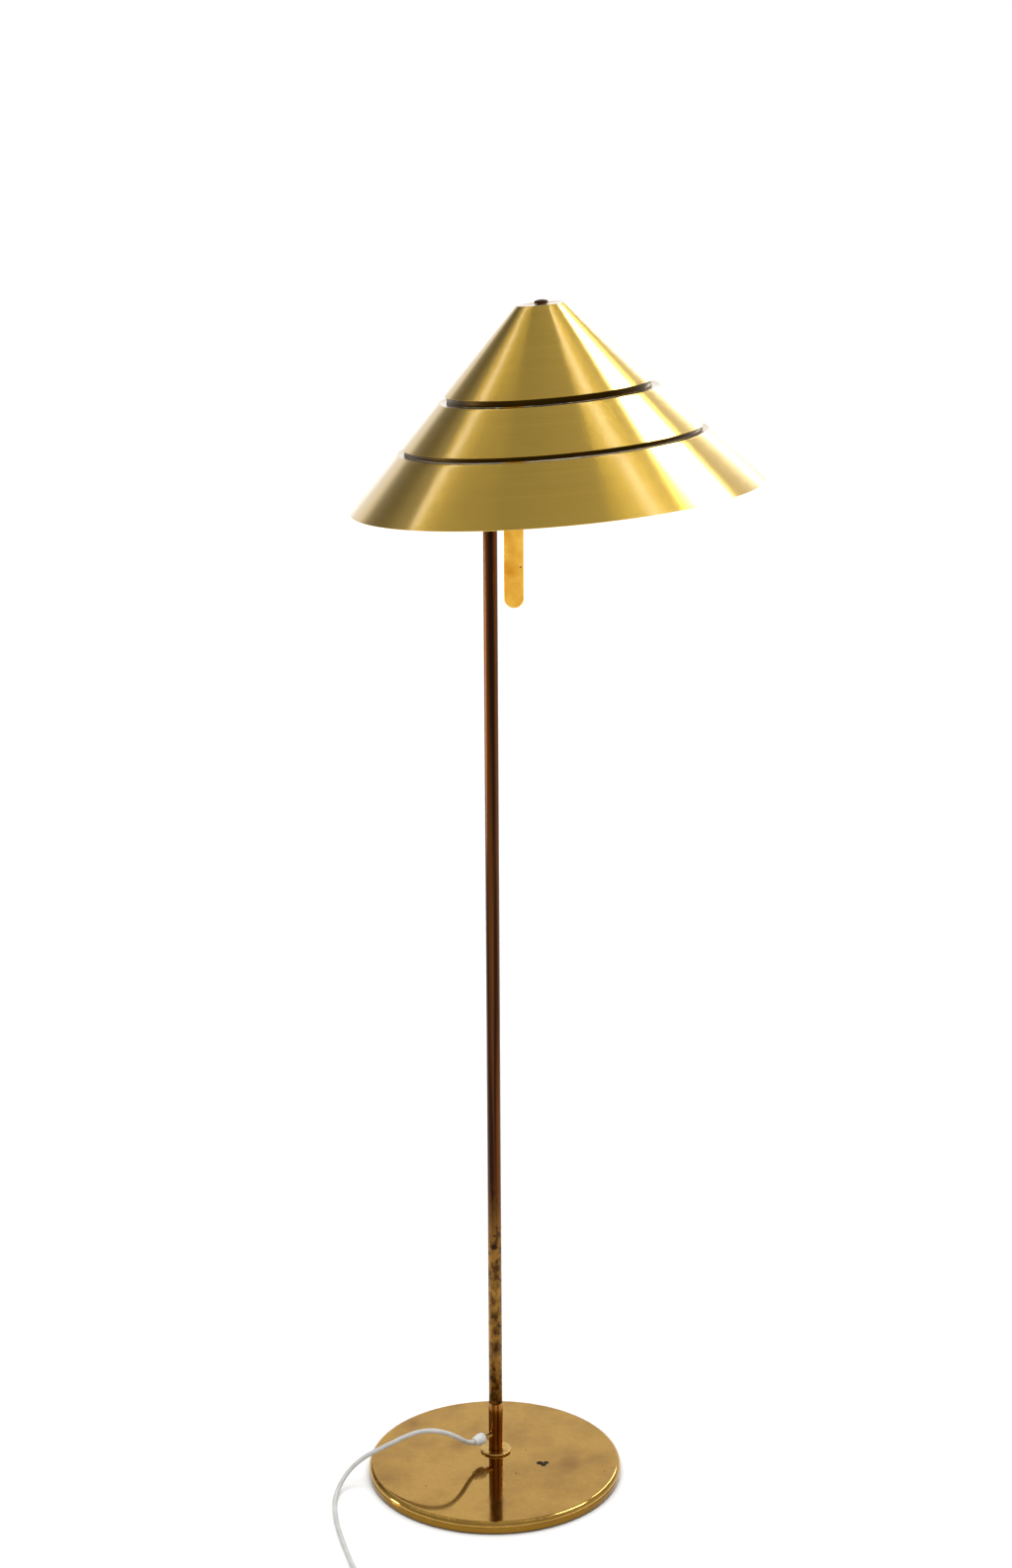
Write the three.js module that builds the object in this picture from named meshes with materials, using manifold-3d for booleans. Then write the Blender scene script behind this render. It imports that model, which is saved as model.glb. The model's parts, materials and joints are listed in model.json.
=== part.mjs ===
// A brass floor lamp: round weighted base, straight pole, and a wide three-tier conical shade that
// swivels on the pole top and tilts on a flat grip strip. Millimetres, +Z up. The origin is the
// centre of the base's underside, on the floor.
import * as THREE from 'three';
import { mergeVertices } from 'three/addons/utils/BufferGeometryUtils.js';
import Module from 'manifold-3d';

// ---- Driving dimensions ----

const GAP = 0.3; // clearance kept between neighbouring pieces

// Base
const BASE_R = 150;
const BASE_TOP = 15; // height of the base's top face
const PAD_R = 147.6;
const PAD_T = 1.6;
const COVER_WALL = 1.2;
const SHOULDER_R = 5.5;
const WEIGHT_R = 146.5;
const WEIGHT_CHAMFER = 4.3;
const POCKET_R = 17; // room for the clamp nut in the weight's underside
const POCKET_DEPTH = 7;

// Pole, set behind the middle of the base
const POLE_X = 1.5;
const POLE_Y = 22;
const POLE_R = 8;
const POLE_BORE_R = 6.9;
const STEM_R = 8.5;
const STEM_TOP = 78.8;
const POLE_TOP = 1185;
const FLANGE_R = 18.5;
const FLANGE_T = 2.5;
const STUD_R = 5;
const STUD_CLEAR_R = 5.3;
const JOINT_R = 6.6;
const JOINT_BORE_R = 4.8;

// Side spigot and cord grip, which lie level: direction seen from above, and height
const SPIGOT_TURN = 220.5 * Math.PI / 180; // from +X towards +Y
const SPIGOT_Z = 37.6;
const SPIGOT_R = 3.8;
const SPIGOT_BORE_R = 3.1;
const SPIGOT_START = 6;
const GRIP_START = 20;
const GRIP_END = 34.5;
const GRIP_R = 7;
const GRIP_NOSE_R = 5;

// Cord
const CORD_R = 2.75;
const CORE_R = 2.2; // the stripped lead inside the pole
const COIL_MEAN_R = 30;
const COIL_HALF_WIDTH = 8.5;
const COIL_H = 17;
const COIL_X = -108;
const COIL_Y = -312;

// Pole head and tilt pivot, in the swivelled frame (x along the head's arm, y across it)
const HEAD_TURN = -14 * Math.PI / 180; // how far the head is swivelled at rest
const COLLAR_R = 9;
const COLLAR_BOTTOM = 1187.3;
const COLLAR_TOP = 1211.3;
const STUB_R = 5;
const STUB_TOP = 1222;
const STUB_BORE_R = 3.3;
const PIVOT_X = 29.6;
const PIVOT_Z = 1200;
const CHEEK_R = 11;
const CHEEK_FRONT = -9;
const CHEEK_BACK = -3;
const PIVOT_HOLE_R = 3.2;

// Grip strip and bracket
const STRIP_W = 22;
const STRIP_T = 4;
const STRIP_BOTTOM = 1051;
const STRIP_TOP = 1346;
const STRIP_FRONT = -14.3;
const STRIP_BACK = STRIP_FRONT + STRIP_T;
const RIVET_HEIGHTS = { bracket_rivet_lower: 1318, bracket_rivet_upper: 1333 };
const RIVET_R = 2;
const RIVET_HOLE_R = 2.3;
const BRACKET_T = 3;

// Shade: a cone given by its point and half angle; each tier is a band of it.
// Heights in the shade's own frame are measured down from the point.
const APEX = new THREE.Vector3(52.8, 12, 1409.1);
const SHADE_LEAN = -4.93 * Math.PI / 180;
const CONE_SLOPE = 0.9667; // radius gained for each millimetre down
const SHEET_T = 0.9;
const SHEET_ACROSS = SHEET_T * Math.sqrt(1 + CONE_SLOPE * CONE_SLOPE);
const TIER_RADII = {
  top: [27.5, 113.9],
  middle: [120.7, 164.7],
  lower: [169.8, 227.8],
};
const NECK_INSET = 2.8; // how far each neck lies inside the tier above it
const NECK_T = 1;
const LEDGE_REACH = 2.6; // how far a tier's top ledge runs in past the neck
const NIPPLE_R = 4.9;
const NIPPLE_BORE_R = 3.3;
const HOLDER_R = 19.5;
const HOLDER_WALL = 2;
const SHADE_TOP_DOWN = TIER_RADII.top[0] / CONE_SLOPE;
const TAB_DOWN = 62; // the bracket's tab, down from the point

// Lathe segments for large, middling and small rings
const FINE = 60;
const MEDIUM = 24;
const SMALL = 16;

// ---- Materials ----

function finish(color, roughness, metalness) {
  return new THREE.MeshStandardMaterial({ color, roughness, metalness });
}
const BRASS_SATIN = finish(0xa8873c, 0.38, 1);
const BRASS_POLISHED = finish(0xb08d45, 0.2, 1);
const BRASS_DARK = finish(0x6a4a16, 0.32, 1);
const BRASS_GOLD = finish(0xd9a040, 0.3, 1);
const BRONZE = finish(0x4a3420, 0.45, 1);
const STEEL = finish(0x9a9a98, 0.4, 1);
const IRON = finish(0x303030, 0.8, 0.6);
const FELT = finish(0x17150f, 0.95, 0);
const WHITE_PLASTIC = finish(0xe8e8e4, 0.4, 0);
const BAKELITE = finish(0x1a1310, 0.35, 0);
const PORCELAIN = finish(0xeeeae0, 0.25, 0);
const OPAL = finish(0xf4f0e6, 0.3, 0);

// ---- Solid helpers ----

const wasm = await Module();
wasm.setup();

// A closed geometry as a solid that can be cut and joined.
function toSolid(geometry) {
  const bare = geometry.clone();
  bare.deleteAttribute('normal');
  bare.deleteAttribute('uv');
  const merged = mergeVertices(bare, 1e-4);
  return new wasm.Manifold(new wasm.Mesh({
    numProp: 3,
    vertProperties: new Float32Array(merged.attributes.position.array),
    triVerts: new Uint32Array(merged.index.array),
  }));
}

function toGeometry(solid) {
  const data = solid.getMesh();
  const geometry = new THREE.BufferGeometry();
  geometry.setAttribute('position', new THREE.BufferAttribute(data.vertProperties, 3));
  geometry.setIndex(new THREE.BufferAttribute(data.triVerts, 1));
  return geometry;
}

// A ring or dish turned about Z from a profile of [radius, height] points.
function turned(profile, segments = MEDIUM) {
  const points = profile.map(([r, z]) => new THREE.Vector2(r, z));
  return new THREE.LatheGeometry(points, segments).rotateX(Math.PI / 2);
}

// A plain ring about Z, from one height to another.
function ring(inner, outer, low, high, segments = MEDIUM) {
  return turned([[inner, low], [outer, low], [outer, high], [inner, high], [inner, low]], segments);
}

// A solid round bar about Z, from one height to another.
function bar(radius, low, high, segments = SMALL) {
  const cylinder = new THREE.CylinderGeometry(radius, radius, high - low, segments);
  return cylinder.rotateX(Math.PI / 2).translate(0, 0, (low + high) / 2);
}

// A round bar along Y at a place in the X-Z plane.
function crossBar(radius, front, back, x, z, segments = SMALL) {
  const cylinder = new THREE.CylinderGeometry(radius, radius, back - front, segments);
  return cylinder.translate(x, (front + back) / 2, z);
}

function box(low, high) {
  const size = high.map((value, i) => value - low[i]);
  const middle = high.map((value, i) => (value + low[i]) / 2);
  return new THREE.BoxGeometry(...size).translate(...middle);
}

// A hexagonal nut about Z with a round bore.
function hexNut(acrossFlats, bore, low, high) {
  const body = toSolid(bar(acrossFlats / Math.sqrt(3), low, high, 6));
  return toGeometry(body.subtract(toSolid(bar(bore, low - 1, high + 1))));
}

// A round tube swept along a curve, closed at both ends.
function swept(curve, radius, sides, steps) {
  const section = new THREE.Shape();
  for (let i = 0; i < sides; i += 1) {
    const turn = 2 * Math.PI * i / sides;
    const place = [radius * Math.cos(turn), radius * Math.sin(turn)];
    if (i === 0) section.moveTo(...place);
    else section.lineTo(...place);
  }
  section.closePath();
  return new THREE.ExtrudeGeometry(section, { steps, extrudePath: curve, bevelEnabled: false });
}

function smoothCurve(points) {
  const places = points.map((p) => new THREE.Vector3(...p));
  return new THREE.CatmullRomCurve3(places, false, 'centripetal');
}

function piece(group, name, geometry, material) {
  const mesh = new THREE.Mesh(geometry, material);
  mesh.name = name;
  group.add(mesh);
  return mesh;
}

// Points of a quarter round from one direction to another, in degrees.
function arc(centreR, centreZ, radius, from, to, steps) {
  const points = [];
  for (let i = 0; i <= steps; i += 1) {
    const turn = (from + (to - from) * i / steps) * Math.PI / 180;
    points.push([centreR + radius * Math.cos(turn), centreZ + radius * Math.sin(turn)]);
  }
  return points;
}

// ---- Base ----

function basePad() {
  return bar(PAD_R, 0, PAD_T, FINE);
}

function baseWeight() {
  const low = PAD_T + GAP;
  const high = BASE_TOP - COVER_WALL - GAP;
  const disc = turned([
    [0, low], [WEIGHT_R, low], [WEIGHT_R, high - WEIGHT_CHAMFER],
    [WEIGHT_R - WEIGHT_CHAMFER, high], [0, high],
  ], FINE);
  const hole = toSolid(bar(STUD_CLEAR_R, low - 1, high + 1).translate(POLE_X, POLE_Y, 0));
  const pocket = toSolid(bar(POCKET_R, low - 1, low + POCKET_DEPTH).translate(POLE_X, POLE_Y, 0));
  return toGeometry(toSolid(disc).subtract(hole).subtract(pocket));
}

function baseCover() {
  const low = PAD_T + GAP;
  const shoulder = BASE_TOP - SHOULDER_R;
  const innerShoulder = SHOULDER_R - COVER_WALL;
  const groove = 0.5;
  const dish = turned([
    [0, BASE_TOP - COVER_WALL],
    ...arc(BASE_R - SHOULDER_R, shoulder, innerShoulder, 90, 0, 2),
    [BASE_R - COVER_WALL, low],
    [BASE_R, low],
    [BASE_R, shoulder - 2 * groove],
    [BASE_R - groove, shoulder - groove],
    ...arc(BASE_R - SHOULDER_R, shoulder, SHOULDER_R, 0, 90, 4),
    [0, BASE_TOP],
  ], FINE);
  const hole = toSolid(bar(STUD_CLEAR_R, 0, BASE_TOP + 1).translate(POLE_X, POLE_Y, 0));
  return toGeometry(toSolid(dish).subtract(hole));
}

function addBase(group) {
  piece(group, 'base_pad', basePad(), FELT);
  piece(group, 'base_weight', baseWeight(), IRON);
  piece(group, 'base_cover', baseCover(), BRASS_POLISHED);
}

// ---- Foot and pole (frame: pole axis) ----

function footFlange() {
  const low = BASE_TOP + GAP;
  const high = low + FLANGE_T;
  return turned([
    [STUD_CLEAR_R, low], [FLANGE_R, low], [FLANGE_R, high - 0.9], [FLANGE_R - 0.9, high],
    [STUD_CLEAR_R, high], [STUD_CLEAR_R, low],
  ], FINE / 2);
}

function footStud() {
  const shelf = BASE_TOP + FLANGE_T + 2 * GAP;
  return turned([[0, 3], [STUD_R, 3], [STUD_R, shelf], [JOINT_R, shelf], [JOINT_R, shelf + 10],
    [0, shelf + 10]], SMALL);
}

function spigotDirection() {
  return new THREE.Vector3(Math.cos(SPIGOT_TURN), Math.sin(SPIGOT_TURN), 0);
}

// Turns a shape built about Z to lie along the spigot, leaving the pole axis at the spigot's height.
function alongSpigot(geometry) {
  const turn = new THREE.Quaternion().setFromUnitVectors(new THREE.Vector3(0, 0, 1), spigotDirection());
  return geometry.applyQuaternion(turn).translate(0, 0, SPIGOT_Z);
}

function lowerStem() {
  const low = BASE_TOP + FLANGE_T + 2 * GAP;
  const tube = toSolid(ring(POLE_BORE_R, STEM_R, low, STEM_TOP));
  const hole = toSolid(alongSpigot(bar(SPIGOT_R + GAP, 0, STEM_R + 4)));
  return toGeometry(tube.subtract(hole));
}

// Cord grip: a ribbed collar that narrows to a nose round the cord.
function cordGrip() {
  const collarEnd = GRIP_START + 7;
  const groove = 0.7;
  return alongSpigot(turned([
    [SPIGOT_BORE_R, GRIP_START], [GRIP_R, GRIP_START], [GRIP_R, GRIP_START + 2.6],
    [GRIP_R - groove, GRIP_START + 3], [GRIP_R - groove, GRIP_START + 4],
    [GRIP_R, GRIP_START + 4.4], [GRIP_R, collarEnd], [GRIP_NOSE_R + 0.6, GRIP_END - 3],
    [GRIP_NOSE_R, GRIP_END], [SPIGOT_BORE_R, GRIP_END], [SPIGOT_BORE_R, GRIP_START],
  ], SMALL));
}

function footLead() {
  const direction = spigotDirection();
  const at = (out, up) => [direction.x * out, direction.y * out, SPIGOT_Z + up];
  const curve = smoothCurve([
    at(GRIP_END - 1, 0), at(24, 0), at(15, 0), at(7.5, 0), at(3.2, 1.8), at(0.7, 6.5), at(0, 13),
    at(0, 25),
  ]);
  return swept(curve, CORE_R, 8, 22);
}

function addPole(group) {
  piece(group, 'base_washer', ring(STUD_CLEAR_R, 13, 7.1, 8.6), STEEL);
  piece(group, 'base_nut', hexNut(17, STUD_CLEAR_R, 3.4, 6.8), STEEL);
  piece(group, 'foot_stud', footStud(), STEEL);
  piece(group, 'foot_flange', footFlange(), BRASS_POLISHED);
  piece(group, 'lower_stem', lowerStem(), BRASS_DARK);
  piece(group, 'joint_nipple', ring(JOINT_BORE_R, JOINT_R, 57, 101, SMALL), STEEL);
  piece(group, 'pole_tube', ring(POLE_BORE_R, POLE_R, STEM_TOP + GAP, POLE_TOP), BRASS_DARK);
  piece(group, 'pole_bush', turned([
    [STUB_BORE_R, POLE_TOP - 20], [JOINT_R, POLE_TOP - 20], [JOINT_R, POLE_TOP + GAP],
    [POLE_R, POLE_TOP + GAP], [POLE_R, POLE_TOP + 2], [STUB_R, POLE_TOP + 2],
    [STUB_R, STUB_TOP], [STUB_BORE_R, STUB_TOP], [STUB_BORE_R, POLE_TOP - 20],
  ], SMALL), BRASS_POLISHED);
  piece(group, 'pole_lead', bar(CORE_R, SPIGOT_Z + 25 + GAP, STUB_TOP + 3, 8), WHITE_PLASTIC);
  piece(group, 'foot_lead', footLead(), WHITE_PLASTIC);
  piece(group, 'cord_spigot', alongSpigot(ring(SPIGOT_BORE_R, SPIGOT_R, SPIGOT_START,
    GRIP_START - GAP, SMALL)), BRASS_POLISHED);
  piece(group, 'cord_grip', cordGrip(), WHITE_PLASTIC);
}

// ---- Mains cord (frame: pole axis) ----

// Out of the grip, up in a low arch over the base, down past its edge and along the floor to the coil.
const CORD_ROUTE = [
  [-26.2, -22.4, 37.6],
  [-28.9, -25.1, 38.5],
  [-31.8, -28.8, 40.6],
  [-35.3, -33.2, 43.9],
  [-39.5, -38.1, 48.7],
  [-44.9, -42.6, 54.2],
  [-52.4, -46.0, 59.8],
  [-62.4, -47.4, 64.1],
  [-75.2, -47.1, 66.1],
  [-91.0, -46.4, 64.2],
  [-107.8, -46.2, 57.8],
  [-123.8, -46.2, 49.5],
  [-137.9, -46.2, 42.1],
  [-150.3, -46.7, 35.6],
  [-161.2, -48.9, 28.9],
  [-170.9, -53.4, 21.6],
  [-179.3, -61.3, 13.7],
  [-185.6, -74.1, 6.8],
  [-188.7, -93.3, 3.4],
  [-187.7, -117.3, 2.9],
  [-184.3, -145.1, 2.8],
  [-178.3, -174.5, 2.8],
  [-170.7, -205.5, 2.8],
  [-163.1, -234.6, 2.8],
  [-155.1, -261.4, 2.8],
  [-149.0, -291.0, 2.8],
];
// From the top of the coil down to the plug.
const TAIL_ROUTE = [
  [-84.0, -348.2, 13.0],
  [-72.0, -349.4, 11.4],
  [-59.0, -351.0, 8.9],
  [-46.0, -352.0, 7.5],
  [-34.0, -352.0, 7.2],
];
const PLUG_X = -33.7;
const PLUG_Y = -352;
const PLUG_Z = 7.2;

function cordCoil() {
  return ring(COIL_MEAN_R - COIL_HALF_WIDTH, COIL_MEAN_R + COIL_HALF_WIDTH, 0.1, COIL_H, FINE / 2)
    .translate(COIL_X, COIL_Y, 0);
}

// Plug body along +X from the cord's end: a tapered neck that widens to a flat moulded body.
function plugBody() {
  const neck = toSolid(new THREE.CylinderGeometry(4.6, 3.6, 24, 16).rotateZ(-Math.PI / 2)
    .translate(12, 0, 0));
  const outline = new THREE.Shape();
  outline.moveTo(20, -4.4);
  outline.bezierCurveTo(24, -4.6, 25, -13, 32, -14.5);
  outline.lineTo(50, -15.5);
  outline.absarc(50, -12.5, 3, -Math.PI / 2, 0, false);
  outline.lineTo(53, 12.5);
  outline.absarc(50, 12.5, 3, 0, Math.PI / 2, false);
  outline.lineTo(32, 14.5);
  outline.bezierCurveTo(25, 13, 24, 4.6, 20, 4.4);
  outline.closePath();
  const block = new THREE.ExtrudeGeometry(outline, {
    depth: 10.8, bevelThickness: 1.4, bevelSize: 1.4, bevelOffset: -1.4, bevelSegments: 2,
    curveSegments: 5,
  }).translate(0, 0, -5.4);
  let body = neck.add(toSolid(block));
  for (const side of [-1, 1]) {
    const hole = bar(2.3, 45, 60, 12).rotateY(Math.PI / 2).translate(0, side * 9.3, 0);
    body = body.subtract(toSolid(hole));
  }
  return toGeometry(body);
}

function plugPin() {
  return turned([[0, 45.4], [2, 45.4], [2, 70.8], [1.3, 72], [0, 72.2]], 12).rotateY(Math.PI / 2);
}

function addCord(group) {
  piece(group, 'cord_run', swept(smoothCurve(CORD_ROUTE), CORD_R, 8, 44), WHITE_PLASTIC);
  piece(group, 'cord_coil', cordCoil(), WHITE_PLASTIC);
  piece(group, 'cord_tail', swept(smoothCurve(TAIL_ROUTE), CORD_R, 8, 6), WHITE_PLASTIC);
  const plug = new THREE.Group();
  plug.position.set(PLUG_X, PLUG_Y, PLUG_Z);
  group.add(plug);
  piece(plug, 'plug_body', plugBody(), WHITE_PLASTIC);
  piece(plug, 'plug_pin_near', plugPin(), STEEL).position.y = -9.3;
  piece(plug, 'plug_pin_far', plugPin(), STEEL).position.y = 9.3;
}

// ---- Swivel head (frame: swivelled pole axis) ----

function swivelHead() {
  const collar = toSolid(bar(COLLAR_R, COLLAR_BOTTOM, COLLAR_TOP, MEDIUM));
  const arm = toSolid(box([0, CHEEK_FRONT + 1.4, PIVOT_Z - 7], [PIVOT_X, CHEEK_BACK, PIVOT_Z + 7]));
  const cheek = toSolid(crossBar(CHEEK_R, CHEEK_FRONT, CHEEK_BACK, PIVOT_X, PIVOT_Z, MEDIUM));
  const bore = toSolid(bar(STUB_R + GAP, COLLAR_BOTTOM - 1, COLLAR_TOP + 1));
  const hole = toSolid(crossBar(PIVOT_HOLE_R, CHEEK_FRONT - 1, CHEEK_BACK + 1, PIVOT_X, PIVOT_Z));
  return toGeometry(collar.add(arm).add(cheek).subtract(bore).subtract(hole));
}

// Turns a shape built about Z so that its +Z points to the front, at the tilt pivot.
function onPivot(geometry) {
  return geometry.rotateX(Math.PI / 2).translate(PIVOT_X, 0, PIVOT_Z);
}

function pivotScrew() {
  const face = -STRIP_FRONT + GAP;
  const screw = toSolid(onPivot(turned([
    [0, -1.6], [2.9, -1.6], [2.9, face], [5.6, face], [5.6, face + 1.6], [4.6, face + 2.8],
    [0, face + 2.8],
  ], SMALL)));
  const slot = toSolid(box([PIVOT_X - 7, -face - 4, PIVOT_Z - 0.6],
    [PIVOT_X + 7, -face - 1.6, PIVOT_Z + 0.6]));
  return toGeometry(screw.subtract(slot));
}

function addSwivel(group) {
  piece(group, 'swivel_head', swivelHead(), BRASS_POLISHED);
  piece(group, 'swivel_washer', ring(STUB_R + GAP, 8.6, COLLAR_TOP + GAP, COLLAR_TOP + 1.5, SMALL),
    STEEL);
  piece(group, 'swivel_nut', hexNut(15, STUB_R + GAP, COLLAR_TOP + 1.8, COLLAR_TOP + 7), BRASS_POLISHED);
  piece(group, 'pivot_screw', pivotScrew(), BRASS_POLISHED);
  piece(group, 'pivot_washer', onPivot(ring(PIVOT_HOLE_R, 9, -CHEEK_FRONT + GAP,
    -STRIP_BACK - GAP, SMALL)), FELT);
  piece(group, 'pivot_nut', onPivot(hexNut(10, PIVOT_HOLE_R, -1.4, -CHEEK_BACK - GAP)),
    BRASS_POLISHED);
}

// ---- Grip strip, bracket and rivets (frame: swivelled pole axis) ----

function gripStrip() {
  const half = STRIP_W / 2;
  const outline = new THREE.Shape();
  outline.moveTo(PIVOT_X + half, STRIP_BOTTOM + half);
  outline.lineTo(PIVOT_X + half, STRIP_TOP);
  outline.lineTo(PIVOT_X - half, STRIP_TOP);
  outline.lineTo(PIVOT_X - half, STRIP_BOTTOM + half);
  outline.absarc(PIVOT_X, STRIP_BOTTOM + half, half, Math.PI, 2 * Math.PI, false);
  const holes = [[PIVOT_HOLE_R, PIVOT_Z]];
  for (const height of Object.values(RIVET_HEIGHTS)) holes.push([RIVET_HOLE_R, height]);
  for (const [radius, height] of holes) {
    const hole = new THREE.Path();
    hole.absarc(PIVOT_X, height, radius, 0, 2 * Math.PI, true);
    outline.holes.push(hole);
  }
  return new THREE.ExtrudeGeometry(outline, { depth: STRIP_T, bevelEnabled: false, curveSegments: 14 })
    .rotateX(Math.PI / 2).translate(0, STRIP_BACK, 0);
}

// From the shade's frame to the swivelled frame.
function inShadeFrame(geometry) {
  return geometry.rotateY(SHADE_LEAN).translate(APEX.x, APEX.y, APEX.z);
}

function shadeBracket() {
  const legFront = STRIP_BACK + GAP;
  const tabLow = -TAB_DOWN - BRACKET_T;
  const tab = toSolid(inShadeFrame(box([-36, legFront - APEX.y, tabLow], [13, 13, -TAB_DOWN])));
  const leg = toSolid(box([PIVOT_X - 9, legFront, 1311], [PIVOT_X + 9, legFront + BRACKET_T, 1342.5]));
  let bracket = tab.add(leg);
  bracket = bracket.subtract(toSolid(inShadeFrame(bar(STUD_CLEAR_R, tabLow - 2, 2 - TAB_DOWN))));
  for (const height of Object.values(RIVET_HEIGHTS)) {
    const hole = crossBar(RIVET_HOLE_R, legFront - 1, legFront + BRACKET_T + 1, PIVOT_X, height);
    bracket = bracket.subtract(toSolid(hole));
  }
  return toGeometry(bracket);
}

function bracketRivet(height) {
  const front = -STRIP_FRONT + GAP;
  const back = -(STRIP_BACK + GAP + BRACKET_T + GAP);
  return turned([
    [0, back - 1.4], [2.4, back - 1.4], [3.4, back - 0.5], [3.4, back], [RIVET_R, back],
    [RIVET_R, front], [3.4, front], [3.4, front + 0.5], [2.4, front + 1.4], [0, front + 1.4],
  ], 16).rotateX(Math.PI / 2).translate(PIVOT_X, 0, height);
}

function headLead() {
  const curve = smoothCurve([
    [0, 0, STUB_TOP + 3.4], [0, 0.2, 1237], [0.8, 1.4, 1252], [3.2, 4.2, 1269], [8.4, 8.0, 1288],
    [16.4, 10.8, 1305], [27.2, 12, 1317.5], [39.6, 12, 1323.4],
  ]);
  return swept(curve, CORE_R, 8, 18);
}

function addTiltingParts(group) {
  piece(group, 'grip_strip', gripStrip(), BRASS_GOLD);
  piece(group, 'shade_bracket', shadeBracket(), BRASS_POLISHED);
  for (const [name, height] of Object.entries(RIVET_HEIGHTS)) {
    piece(group, name, bracketRivet(height), BRASS_POLISHED);
  }
  piece(group, 'head_lead', headLead(), WHITE_PLASTIC);
}

// ---- Shade (frame: the cone's point, heights negative going down) ----

function downTo(radius) {
  return -radius / CONE_SLOPE;
}

// The sheet's inner radius at a height.
function insideAt(z) {
  return -z * CONE_SLOPE - SHEET_ACROSS;
}

function topTier() {
  const [small, large] = TIER_RADII.top;
  const under = downTo(small) - SHEET_T;
  return turned([
    [insideAt(downTo(large)), downTo(large)], [large, downTo(large)], [small, downTo(small)],
    [STUD_CLEAR_R, downTo(small)], [STUD_CLEAR_R, under], [insideAt(under), under],
    [insideAt(downTo(large)), downTo(large)],
  ], FINE);
}

// A middle or lower tier: a band of the cone with a flat ledge turned in at its top.
function ledgedTier([small, large], ledgeR) {
  const top = downTo(small);
  const bottom = downTo(large);
  const under = top - NECK_T;
  return turned([
    [insideAt(bottom), bottom], [large, bottom], [small, top], [ledgeR, top], [ledgeR, under],
    [insideAt(under), under], [insideAt(bottom), bottom],
  ], FINE);
}

// A recessed ring that stands on the ledge below and tucks under the tier above.
function neckRing(upperTier, lowerTier) {
  const outer = upperTier[1] - NECK_INSET;
  const tuck = -(outer + SHEET_ACROSS + GAP) / CONE_SLOPE;
  return ring(outer - NECK_T, outer, downTo(lowerTier[0]) + GAP, tuck, FINE);
}

function holderCap() {
  const top = -TAB_DOWN - BRACKET_T - GAP;
  const inner = HOLDER_R - HOLDER_WALL;
  const cap = toSolid(turned([
    [inner, -88], [HOLDER_R, -88], [HOLDER_R, -79], [15.4, -71.6], [8.6, -69.4], [8.6, top],
    [STUD_CLEAR_R, top], [STUD_CLEAR_R, -71.4], [14.2, -73.6], [inner, -80], [inner, -88],
  ]));
  const hole = toSolid(bar(2.4, inner - 3, HOLDER_R + 3, 12).rotateY(Math.PI / 2).translate(0, 0, -83.5));
  return toGeometry(cap.subtract(hole));
}

function holderShell() {
  const inner = HOLDER_R - HOLDER_WALL;
  return turned([
    [inner, -122], [HOLDER_R + 1.2, -122], [HOLDER_R + 1.2, -118.5], [HOLDER_R, -117],
    [HOLDER_R, -88.3], [inner, -88.3], [inner, -122],
  ]);
}

function bulbCap() {
  const profile = [[0, -102.4], [12, -102.4], [12, -127], [12.7, -127]];
  for (let z = -122; z <= -106; z += 5.2) {
    profile.push([12.5, z - 0.9], [13.1, z + 0.9]);
  }
  profile.push([12.6, -104], [9, -101.6], [4, -101.2], [0, -100.9]);
  return turned(profile, SMALL);
}

function bulbGlass() {
  const outline = new THREE.SplineCurve([
    new THREE.Vector2(0, -201), new THREE.Vector2(9, -199.4), new THREE.Vector2(19, -193.6),
    new THREE.Vector2(27, -182.5), new THREE.Vector2(29.8, -169), new THREE.Vector2(27, -153.5),
    new THREE.Vector2(20, -141.5), new THREE.Vector2(14.4, -133.5), new THREE.Vector2(11.6, -128.4),
    new THREE.Vector2(11.2, -123), new THREE.Vector2(11.2, -117),
  ]).getPoints(11);
  const wall = 0.9;
  const profile = outline.map((p) => [Math.max(p.x, 0), p.y]);
  profile[0][0] = 0;
  const inner = profile.map(([r, z], i) => {
    const bottomShare = Math.max(0, (-z - 169) / 32);
    return i === 0 ? [0, z + wall] : [r - wall * (1 - 0.6 * bottomShare), z + wall * bottomShare];
  });
  return turned([...profile, ...inner.reverse()], SMALL);
}

function finialNut() {
  const foot = -SHADE_TOP_DOWN + GAP;
  return turned([
    [0, foot + 2.8], [STUD_CLEAR_R, foot + 2.8], [STUD_CLEAR_R, foot], [7.5, foot],
    [7.5, foot + 2.4], [6.4, foot + 3.5], [3, foot + 4.1], [0, foot + 4.2],
  ]);
}

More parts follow.
